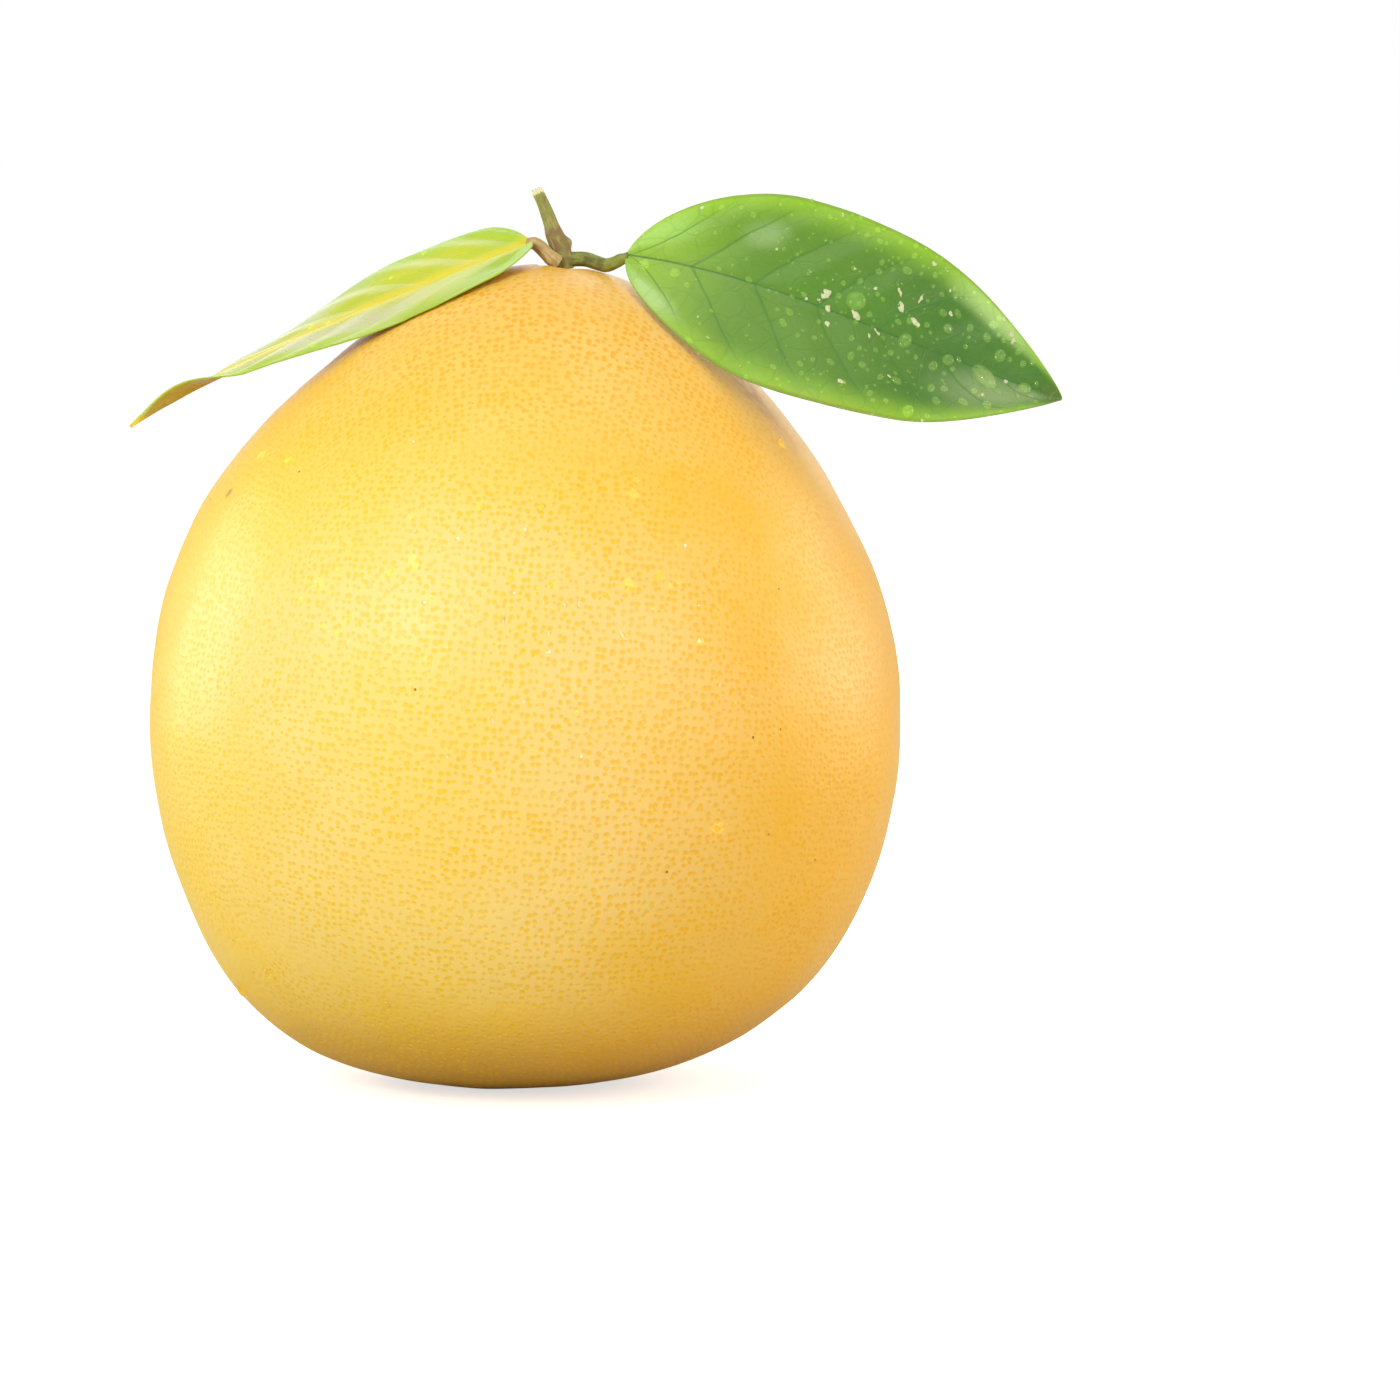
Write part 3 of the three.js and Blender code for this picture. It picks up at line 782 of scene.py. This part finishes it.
youngLeafLook = {
    "name": "waxyYoungLeaf",
    "base": "c6d022", "deep": "b4cc28", "edge": "a2c832", "vein": "d8d23c", "rib": "f0da3a",
    "under": "b39a48", "rim": "a4cc2c", "tip": "e6c81e",
    "tonesAndPaintedLight": [
        # the two grey patches are painted reflections of the bright surroundings; the green and the
        # yellow-green patches are tones
        ("dde0d0", 0.75, (0.72, 0.80), (0.42, 0.60)), ("d2d4bc", 0.68, (0.50, -0.45), (0.36, 0.38)),
        ("98cc3a", 0.55, (0.10, -0.60), (0.18, 0.50)), ("b8c41c", 0.50, (0.45, 0.25), (0.30, 0.30)),
    ],
    "baseSpan": (0.22, 0.0), "deepSpan": (0.3, 1.0), "edgeSpan": (0.5, 1.0),
    "ribFade": (4.6, 0.0), "ribStrength": 0.75,
    "veinStrength": 0.25, "netStrength": 0.12, "roughness": 0.30,
}
leafGrain = {"warp": 9, "blotch": 16, "net": 5.2, "fineNet": 1.7, "netBend": 5, "skin": 1.6}  # mm wide


def makeLeafSkin(look):
    material, add = newMaterial(look["name"])
    objectPlace = add("TexCoord").outputs["Object"]
    shares = add("Attribute", {"attribute_name": "bladeShare"})
    parts = add("SeparateXYZ", {}, [shares.outputs["Vector"]])
    along, across, top = parts.outputs[0], parts.outputs[1], parts.outputs[2]
    flat = add("Attribute", {"attribute_name": "bladeMm"}).outputs["Vector"]
    flatParts = add("SeparateXYZ", {}, [flat])
    outward = add("Math", absolute, [across])
    # Side veins sweep forward: the same run as the grooves in the blade.
    swept = add("Math", {"operation": "POWER"}, [outward, 1.2])
    swept = add("Math", timesPlus, [swept, -bladeForm["veinSweep"], along])
    warp = add("TexNoise", {}, {
        "Vector": objectPlace, "Scale": 1 / (leafGrain["warp"] * mm), "Detail": 2.0})
    warp = add("Math", timesPlus, [warp.outputs["Fac"], 0.022, -0.011])
    swept = add("Math", plus, [swept, warp])
    phase = add("Math", times, [swept, bladeForm["sideVeins"]])
    toVein = add("Math", {"operation": "PINGPONG"}, [phase, 0.5])
    sideVein = add("MapRange", softly, [toVein, 0.045, 0.008])
    fade = add("MapRange", softly, [outward, 0.97, 0.55])
    sideVein = add("Math", times, [sideVein, fade])
    bend = add("TexNoise", {}, {"Vector": flat, "Scale": 1 / leafGrain["netBend"], "Detail": 2.0})
    cells = add("VectorMath", timesPlus, [bend.outputs["Color"], (3, 3, 0), flat])
    net = add("TexVoronoi", {"feature": "DISTANCE_TO_EDGE"}, {
        "Vector": cells, "Scale": 1 / leafGrain["net"]})
    net = add("MapRange", softly, [net.outputs["Distance"], 0.055, 0.01])
    fineNet = add("TexVoronoi", {"feature": "DISTANCE_TO_EDGE"}, {
        "Vector": cells, "Scale": 1 / leafGrain["fineNet"]})
    fineNet = add("MapRange", softly, [fineNet.outputs["Distance"], 0.1, 0.02, 0.0, 0.4])
    net = add("Math", larger, [net, fineNet])
    fromRib = add("Math", absolute, [flatParts.outputs[1]])
    rib = add("MapRange", softly, [fromRib, look["ribFade"][0], look["ribFade"][1]])
    # Colour of the blade: paler at its base and edges, deeper past the middle, and blotched.
    blotch = add("TexNoise", {}, {
        "Vector": objectPlace, "Scale": 1 / (leafGrain["blotch"] * mm), "Detail": 3.0})
    baseness = add("MapRange", softly, [along, look["baseSpan"][0], look["baseSpan"][1], 0.0, 0.8])
    deepness = add("MapRange", softly, [along, look["deepSpan"][0], look["deepSpan"][1]])
    blotched = add("MapRange", softly, [blotch.outputs["Fac"], 0.3, 0.6, 0.55, 1.0])
    deepness = add("Math", times, [deepness, blotched])
    edgeness = add("MapRange", softly, [outward, look["edgeSpan"][0], look["edgeSpan"][1], 0.0, 0.8])
    colour = linear(look["base"])
    for share, tint in ((deepness, "deep"), (baseness, "edge"), (edgeness, "edge")):
        colour = add("Mix", rgba, {"Factor": share, "A": colour, "B": linear(look[tint])})
    # Patches: the leaf's own tones, and painted highlights, reflections and shade.
    for tint, strength, middle, spread in look["tonesAndPaintedLight"]:
        away = add("VectorMath", minus, [shares.outputs["Vector"], (*middle, 1)])
        away = add("VectorMath", times, [away, (1 / spread[0], 1 / spread[1], 0)])
        away = add("VectorMath", {"operation": "LENGTH"}, [away])
        near = add("MapRange", softly, [away, 1.0, 0.2, 0.0, strength])
        colour = add("Mix", rgba, {"Factor": near, "A": colour, "B": linear(tint)})
    for lines, strength, tint in ((net, "netStrength", "vein"), (sideVein, "veinStrength", "vein"),
                                  (rib, "ribStrength", "rib")):
        shown = add("Math", times, [lines, look[strength]])
        colour = add("Mix", rgba, {"Factor": shown, "A": colour, "B": linear(look[tint])})
    # The underside, then a thin rim of its own colour, and a dried tip.
    isUnder = add("MapRange", softly, [top, 0.9, 0.1])
    rimness = add("MapRange", softly, [outward, 0.95, 0.99, 0.0, 0.7])
    tipness = add("MapRange", softly, [along, 0.93, 0.985, 0.0, 0.9])
    for share, tint in ((isUnder, "under"), (rimness, "rim"), (tipness, "tip")):
        colour = add("Mix", rgba, {"Factor": share, "A": colour, "B": linear(look[tint])})
    lines = add("Math", larger, [net, sideVein])
    grain = add("TexNoise", {}, {
        "Vector": objectPlace, "Scale": 1 / (leafGrain["skin"] * mm), "Detail": 3.0})
    height = add("Math", times, [grain.outputs["Fac"], 0.9])
    height = add("Math", minus, [height, lines])
    bump = add("Bump", {}, {"Strength": 0.8, "Distance": 0.05 * mm, "Height": height})
    shader = add("BsdfPrincipled", {}, {
        "Base Color": colour, "Roughness": look["roughness"], "IOR": 1.46, "Normal": bump,
        "Subsurface Weight": 0.6, "Subsurface Radius": (0.7, 1.0, 0.2), "Subsurface Scale": 1.5 * mm})
    add("OutputMaterial", {}, {"Surface": shader})
    return material


# Bark: young citrus wood, still green under a thin grey-brown skin that has split lengthwise.
# The eye sees a matt rod with fine streaks along it. The stalks are the same skin, browner or greener.
barkLooks = {
    "stem": {"name": "youngCitrusBark",
        "green": "949a4a", "brown": "8d7446", "pale": "c4b878", "roughness": 0.62,
        "cutAt": 16.1, "cutColour": "f2edbe"},  # mm along the stem where its torn, pale end begins
    "left": {"name": "dryBrownStalk",
        "green": "d2bc78", "brown": "c2a066", "pale": "ecd8ac", "roughness": 0.6},
    "right": {"name": "freshOliveStalk",
        "green": "8d9a3e", "brown": "6f6a30", "pale": "adb560", "roughness": 0.5},
    "button": {"name": "driedCalyx",
        "green": "7f7440", "brown": "5b4726", "pale": "a08c58", "roughness": 0.75},
}


def makeBark(look):
    material, add = newMaterial(look["name"])
    along = add("Attribute", {"attribute_name": "alongGrain"}).outputs["Vector"]
    if look["name"] == "driedCalyx":  # the button has no grain of its own, only its place in mm
        along = add("VectorMath", times, [add("TexCoord").outputs["Object"], (1 / mm, 1 / mm, 1 / mm)])
    stretched = add("Mapping", {}, {"Vector": along, "Scale": (0.28, 1.9, 1.9)})
    streaks = add("TexNoise", {}, {"Vector": stretched, "Scale": 1.3, "Detail": 4.0})
    blotches = add("TexNoise", {}, {"Vector": along, "Scale": 0.42, "Detail": 2.0})
    cracks = add("TexNoise", {}, {"Vector": stretched, "Scale": 3.4, "Detail": 3.0})
    colour = linear(look["green"])
    for source, start, end, most, tint in (
            (blotches, 0.38, 0.66, 1.0, "brown"), (streaks, 0.5, 0.72, 0.7, "pale"),
            (cracks, 0.42, 0.3, 0.7, "brown")):
        share = add("MapRange", softly, [source.outputs["Fac"], start, end, 0.0, most])
        colour = add("Mix", rgba, {"Factor": share, "A": colour, "B": linear(look[tint])})
    if "cutAt" in look:
        torn = add("SeparateXYZ", {}, [along]).outputs["X"]
        torn = add("Math", plus, [torn, streaks.outputs["Fac"]])
        torn = add("MapRange", softly, [torn, look["cutAt"], look["cutAt"] + 0.5])
        colour = add("Mix", rgba, {"Factor": torn, "A": colour, "B": linear(look["cutColour"])})
    height = add("Math", plus, [streaks.outputs["Fac"], cracks.outputs["Fac"]])
    bump = add("Bump", {}, {"Strength": 0.8, "Distance": 0.25 * mm, "Height": height})
    add("OutputMaterial", {}, {
        "Surface": add("BsdfPrincipled", {}, {
            "Base Color": colour, "Roughness": look["roughness"], "IOR": 1.45, "Normal": bump})})
    return material


# Cut wood: the pale end grain where the stem was clipped. The eye sees a dry cream face.
def makeCutWood():
    material, add = newMaterial("freshlyCutWood")
    place = add("TexCoord").outputs["Object"]
    fibres = add("TexNoise", {}, {"Vector": place, "Scale": 1 / (0.35 * mm), "Detail": 3.0})
    share = add("MapRange", softly, [fibres.outputs["Fac"], 0.35, 0.65])
    colour = add("Mix", rgba, {"Factor": share, "A": linear("cfc48a"), "B": linear("f0ebc4")})
    bump = add("Bump", {}, {"Strength": 0.7, "Distance": 0.15 * mm, "Height": fibres.outputs["Fac"]})
    add("OutputMaterial", {}, {
        "Surface": add("BsdfPrincipled", {}, {
            "Base Color": colour, "Roughness": 0.75, "IOR": 1.45, "Normal": bump})})
    return material


# Water: clear drops left from rinsing. The eye sees a bright point, a dark rim and the skin behind, a
# little brighter than round it, because a drop gathers light like a lens; that brightening is painted as a
# faint green-yellow glow.
def makeWater(name, tint, paintedGlow):
    material, add = newMaterial(name)
    add("OutputMaterial", {}, {
        "Surface": add("BsdfPrincipled", {}, {
            "Base Color": linear(tint), "Roughness": 0.02, "IOR": 1.333, "Transmission Weight": 1.0,
            # a painted glow, for the light the drop gathers
            "Emission Color": linear("c8e052"), "Emission Strength": paintedGlow})})
    return material


# Dry flakes: the chalky specks that spray water leaves. On the rind they also stand for pale glints off the
# edges of thin wet traces, a painted highlight. The eye sees matt cream crumbs, duller on the leaf than on
# the rind.
def makeFlakes(name, dull, pale):
    material, add = newMaterial(name)
    place = add("TexCoord").outputs["Object"]
    patchy = add("TexNoise", {}, {"Vector": place, "Scale": 1 / (0.6 * mm), "Detail": 2.0})
    colour = add("Mix", rgba, {"Factor": patchy, "A": linear(dull), "B": linear(pale)})
    add("OutputMaterial", {}, {
        "Surface": add("BsdfPrincipled", {}, {"Base Color": colour, "Roughness": 0.7, "IOR": 1.45})})
    return material


for piece, material in (
    (fruit, makeRind()),
    (leafRight, makeLeafSkin(greenLeafLook)),
    (leafLeft, makeLeafSkin(youngLeafLook)),
    (stem, makeBark(barkLooks["stem"])),
    (stem, makeCutWood()),
    (stalkLeft, makeBark(barkLooks["left"])),
    (stalkRight, makeBark(barkLooks["right"])),
    (button, makeBark(barkLooks["button"])),
):
    piece.data.materials.append(material)
leafWater = makeWater("clearWaterOnLeaf", "ffffff", 0.09)
rindWater = makeWater("clearWaterOnRind", "fff8d8", 0.03)
leafChalk = makeFlakes("driedChalkOnLeaf", "b4bd74", "e9eccb")
rindChalkAndGlints = makeFlakes("chalkAndPaintedGlintsOnRind", "fde98c", "fffbe4")
print("materials made")

# Water drops: flattened beads that sit on the skin, larger ones where the photo shows them
dropForm = {
    "seed": 11,
    "rightLeaf": [  # pixel across, pixel down, width mm, length mm
        (856, 301, 4.0, 4.2), (905, 341, 2.6, 4.2), (984, 377, 3.6, 6.4), (948, 360, 2.3, 2.9),
        (933, 366, 1.8, 2.7), (1025, 388, 2.6, 2.8), (896, 381, 1.7, 2.2), (908, 411, 2.3, 3.0),
        (1000, 356, 2.2, 2.8), (993, 325, 1.9, 1.9), (948, 329, 1.8, 2.2), (851, 356, 1.4, 2.1),
        (862, 365, 1.4, 1.7), (987, 338, 1.6, 2.3), (931, 388, 1.5, 2.0), (944, 389, 1.4, 1.6),
        (936, 401, 1.5, 2.0), (963, 402, 1.6, 2.2), (987, 405, 1.7, 2.4), (675, 273, 2.2, 2.2),
        (644, 265, 2.0, 2.8), (943, 313, 1.6, 1.9), (879, 272, 1.5, 1.5), (907, 271, 1.8, 2.4),
        (783, 323, 1.4, 2.2), (789, 312, 1.3, 2.0), (830, 362, 1.3, 1.9), (880, 377, 1.2, 1.7),
        (970, 328, 1.4, 1.8), (958, 314, 1.2, 2.2), (1018, 352, 1.2, 1.6), (1023, 364, 1.2, 1.6),
        (870, 393, 1.2, 1.6), (687, 285, 1.2, 1.6),
    ],
    "fruit": [
        (320, 584, 2.2, 3.4), (390, 572, 2.0, 2.6), (414, 563, 2.3, 4.0), (322, 626, 1.3, 1.6),
        (337, 632, 1.6, 1.9), (335, 547, 1.1, 1.5), (349, 551, 1.0, 1.3), (339, 570, 1.1, 1.4),
        (432, 600, 1.6, 2.2), (633, 494, 2.2, 2.6), (660, 576, 2.0, 2.2), (630, 585, 2.6, 3.2),
        (552, 585, 1.5, 2.4), (511, 578, 1.4, 2.0), (718, 827, 2.4, 3.0), (781, 444, 1.6, 2.2),
        (700, 641, 1.5, 2.0), (540, 507, 1.7, 2.2), (480, 505, 1.6, 2.4), (262, 456, 1.8, 2.6),
        (288, 460, 1.5, 2.0), (411, 517, 1.6, 1.6), (272, 975, 3.0, 3.8), (243, 990, 2.6, 4.0),
        (386, 1005, 1.8, 2.4),
    ],
    "leftLeaf": [
        (424, 253, 1.0, 1.4), (391, 278, 0.9, 1.2), (311, 327, 1.2, 1.8), (328, 323, 1.0, 1.4),
        (313, 345, 1.0, 1.4),
    ],
    "smallOnLeaf": 230, "smallOnFruit": 90, "smallOnYoungLeaf": 0,
    "rise": 0.62,  # height of a bead as a share of its radius
    "foot": -0.08,  # how far it goes under the skin, as the same share
    "spread": 0.6,  # how far its long way strays from straight down
    "gap": 0.3,  # mm between beads
    "crowding": 2.2,  # 1 scatters all sizes alike, more than 1 favours small beads
    "mostTries": 8000,
}
flakeForm = {
    "rightLeaf": [
        (826, 294, 1.8, 2.6), (819, 300, 0.8, 1.2), (855, 269, 0.8, 0.9), (843, 215, 0.8, 0.9),
        (867, 238, 0.5, 0.8), (856, 315, 1.2, 2.6), (828, 309, 1.0, 1.8), (827, 324, 0.9, 1.4),
        (877, 331, 0.8, 2.4), (869, 336, 0.6, 1.2), (900, 293, 0.7, 2.0), (901, 307, 1.3, 2.3),
        (915, 322, 1.2, 2.6), (921, 299, 0.5, 2.4), (951, 314, 1.0, 1.2), (934, 264, 0.8, 1.2),
        (947, 270, 0.5, 1.0), (841, 382, 0.9, 2.1), (1014, 341, 0.8, 2.0), (1012, 334, 0.8, 1.3),
        (1004, 319, 0.7, 0.9), (1006, 382, 0.9, 1.3), (983, 394, 0.8, 1.5), (889, 376, 0.5, 0.9),
    ],
    "fruit": [
        (525, 530, 0.7, 1.2), (504, 540, 0.5, 1.5), (459, 540, 0.5, 1.1), (504, 620, 0.35, 2.6),
        (564, 605, 0.4, 1.1), (578, 603, 0.35, 2.6), (623, 636, 0.4, 2.6), (548, 653, 0.8, 1.5),
        (548, 632, 0.5, 1.0), (624, 682, 0.6, 1.1), (720, 685, 0.6, 0.9), (685, 546, 0.7, 1.0),
        (699, 641, 0.8, 1.1), (648, 641, 0.35, 1.1), (473, 715, 0.5, 0.6), (493, 721, 0.5, 0.8),
        (536, 701, 0.5, 0.7), (524, 702, 0.5, 0.6), (543, 669, 0.4, 0.6), (492, 651, 0.4, 0.5),
    ],
    "smallOnLeaf": 26, "smallOnFruit": 26,
    "rise": 0.16,
}


def beadTree(material):  # beads on points that carry their own size and turn
    tree = bpy.data.node_groups.new("beads", "GeometryNodeTree")
    for name, way, kind in (
        ("Geometry", "INPUT", "Geometry"), ("Rise", "INPUT", "Float"), ("Unevenness", "INPUT", "Float"),
        ("Fineness", "INPUT", "Float"), ("Segments", "INPUT", "Int"), ("Rings", "INPUT", "Int"),
        ("Geometry", "OUTPUT", "Geometry"),
    ):
        tree.interface.new_socket(name, in_out=way, socket_type="NodeSocket" + kind)
    add = partial(addNode, tree)
    given = add("NodeGroupInput")
    ball = add("GeometryNodeMeshUVSphere", {}, {
        "Segments": given.outputs["Segments"], "Rings": given.outputs["Rings"], "Radius": 1.0})
    place = add("SeparateXYZ", {}, [add("GeometryNodeInputPosition")])
    high = add("Math", times, [place.outputs["Z"], given.outputs["Rise"]])
    high = add("Math", larger, [high, dropForm["foot"]])
    place = add("CombineXYZ", {}, [place.outputs["X"], place.outputs["Y"], high])
    bead = add("GeometryNodeSetPosition", {}, {"Geometry": ball.outputs["Mesh"], "Position": place})
    facing, lying, size = (
        add("GeometryNodeInputNamedAttribute", asVector, {"Name": name})
        for name in ("facing", "lying", "beadSize"))
    turn = add("FunctionNodeAlignRotationToVector", {"axis": "Z"}, {"Vector": facing})
    turn = add("FunctionNodeAlignRotationToVector", {"axis": "X", "pivot_axis": "Z"}, {
        "Rotation": turn, "Vector": lying})
    beads = add("GeometryNodeInstanceOnPoints", {}, {
        "Points": given.outputs["Geometry"], "Instance": bead, "Rotation": turn, "Scale": size})
    real = add("GeometryNodeRealizeInstances", {}, {"Geometry": beads})
    wave = add("TexNoise", {}, {"Scale": given.outputs["Fineness"], "Detail": 1.0})
    push = add("VectorMath", minus, [wave.outputs["Color"], (0.5, 0.5, 0.5)])
    push = add("VectorMath", {"operation": "SCALE"}, {0: push, "Scale": given.outputs["Unevenness"]})
    moved = add("GeometryNodeSetPosition", {}, {"Geometry": real, "Offset": push})
    smooth = add("GeometryNodeSetShadeSmooth", {}, {"Geometry": moved})
    coated = add("GeometryNodeSetMaterial", {}, {"Geometry": smooth})
    coated.inputs["Material"].default_value = material
    add("NodeGroupOutput", {}, {"Geometry": coated})
    return tree


def setBeads(name, beads, tree, values):  # beads: place, facing, lying way, size
    points = bpy.data.objects.new(name, bpy.data.meshes.new(name))
    points.data.from_pydata([tuple(b[0]) for b in beads], [], [])
    scene.collection.objects.link(points)
    for part, attribute in ((1, "facing"), (2, "lying"), (3, "beadSize")):
        storeVector(points, attribute, [b[part] for b in beads])
    modifier = points.modifiers.new("beads", "NODES")
    modifier.node_group = tree
    for item in tree.interface.items_tree:
        if item.in_out == "INPUT" and item.name in values:
            modifier[item.identifier] = values[item.name]
    graph = bpy.context.evaluated_depsgraph_get()
    mesh = bpy.data.meshes.new_from_object(points.evaluated_get(graph))
    points.modifiers.clear()
    old, points.data = points.data, mesh
    bpy.data.meshes.remove(old)
    mesh.name = name
    return points


def beadAt(place, normal, wide, long, spin):  # its long way runs roughly downhill
    downhill = Vector((0, 0, -1)) + Vector((math.cos(spin), math.sin(spin), 0)) * dropForm["spread"]
    downhill = downhill - normal * downhill.dot(normal)
    high = (wide + long) / 4
    return place, normal, downhill, (long / 2 * mm, wide / 2 * mm, high * mm)


def placeBeads(piece, listed, small, draw, region, sizes):  # the listed beads, then small ones at random
    beads = []
    for across, down, wide, long in listed:
        place, normal = seenAt(piece, across, down)
        if place:
            beads.append(beadAt(place, normal, wide, long, draw.uniform(0, 6.3)))
    tries = 0
    while len(beads) < len(listed) + small and tries < dropForm["mostTries"]:
        tries += 1
        across, down = region(draw)
        place, normal = seenAt(piece, across, down)
        if not place:
            continue
        wide = sizes[0] + (sizes[1] - sizes[0]) * draw.random() ** dropForm["crowding"]
        if all((place - b[0]).length > (wide + dropForm["gap"]) * mm * 0.5 + b[3][0] for b in beads):
            beads.append(beadAt(place, normal, wide, wide * draw.uniform(1, 1.5), draw.uniform(0, 6.3)))
    return beads


def leafRegion(draw):  # thickest over the middle and outer half of the green leaf
    return draw.triangular(650, 1050, 930), draw.uniform(200, 440)


def fruitRegion(draw):  # a loose drift across the upper front of the fruit
    return draw.gauss(520, 150), draw.gauss(590, 90)


bpy.context.view_layer.update()
draw = random.Random(dropForm["seed"])
leafBeadTree, rindBeadTree = beadTree(leafWater), beadTree(rindWater)
leafBeads, fruitBeads, youngBeads, leafFlakes, fruitFlakes = (
    placeBeads(piece, form[listed], form[few], draw, region, sizes)
    for piece, form, listed, few, region, sizes in (
        (leafRight, dropForm, "rightLeaf", "smallOnLeaf", leafRegion, (0.45, 1.3)),
        (fruit, dropForm, "fruit", "smallOnFruit", fruitRegion, (0.5, 1.3)),
        (leafLeft, dropForm, "leftLeaf", "smallOnYoungLeaf", leafRegion, (0.5, 1)),
        (leafRight, flakeForm, "rightLeaf", "smallOnLeaf", leafRegion, (0.3, 0.7)),
        (fruit, flakeForm, "fruit", "smallOnFruit", fruitRegion, (0.3, 0.7))))
leafFlakeTree, rindFlakeTree = beadTree(leafChalk), beadTree(rindChalkAndGlints)
large, small, crumbs = (
    {"Rise": rise, "Unevenness": uneven * mm, "Fineness": 1 / (width * mm), "Segments": segments,
     "Rings": rings}
    for rise, uneven, width, segments, rings in (
        (dropForm["rise"], 0.16, 2.2, 22, 14), (dropForm["rise"], 0.06, 2.2, 10, 7),
        (flakeForm["rise"], 1.0, 0.8, 18, 6)))
countLeaf, countFruit = len(dropForm["rightLeaf"]), len(dropForm["fruit"])
dropSets = [
    (setBeads("dropsOnGreenLeaf", leafBeads[:countLeaf], leafBeadTree, large), "green_leaf"),
    (setBeads("fineDropsOnGreenLeaf", leafBeads[countLeaf:], leafBeadTree, small), "green_leaf"),
    (setBeads("dropsOnRind", fruitBeads[:countFruit], rindBeadTree, large), "rind"),
    (setBeads("fineDropsOnRind", fruitBeads[countFruit:], rindBeadTree, small), "rind"),
    (setBeads("dropsOnYoungLeaf", youngBeads, leafBeadTree, small), "young_leaf"),
]
for piece, slot in dropSets:
    piece.visible_shadow = False  # water lets the light through to the skin under it
flakeSets = [
    (setBeads("flakesOnGreenLeaf", leafFlakes, leafFlakeTree, crumbs), "green_leaf"),
    (setBeads("flakesOnRind", fruitFlakes, rindFlakeTree, crumbs), "rind"),
]
print("drops set", len(leafBeads), len(fruitBeads), len(youngBeads))

# What each piece stands for, and the body that carries it
for piece, node, slot in (
    (fruit, "fruit", "rind"),
    (button, "button", "button"),
    (stem, "stem", "twig"),
    (stalkLeft, "petiole_left", "brown_stalk"),
    (stalkRight, "petiole_right", "olive_stalk"),
    (leafLeft, "leaf_left", "young_leaf"),
    (leafRight, "leaf_right", "green_leaf"),
):
    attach(piece, "root")
    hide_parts(node)
for piece, slot in dropSets + flakeSets:
    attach(piece, "root")

print("pomelo ready")
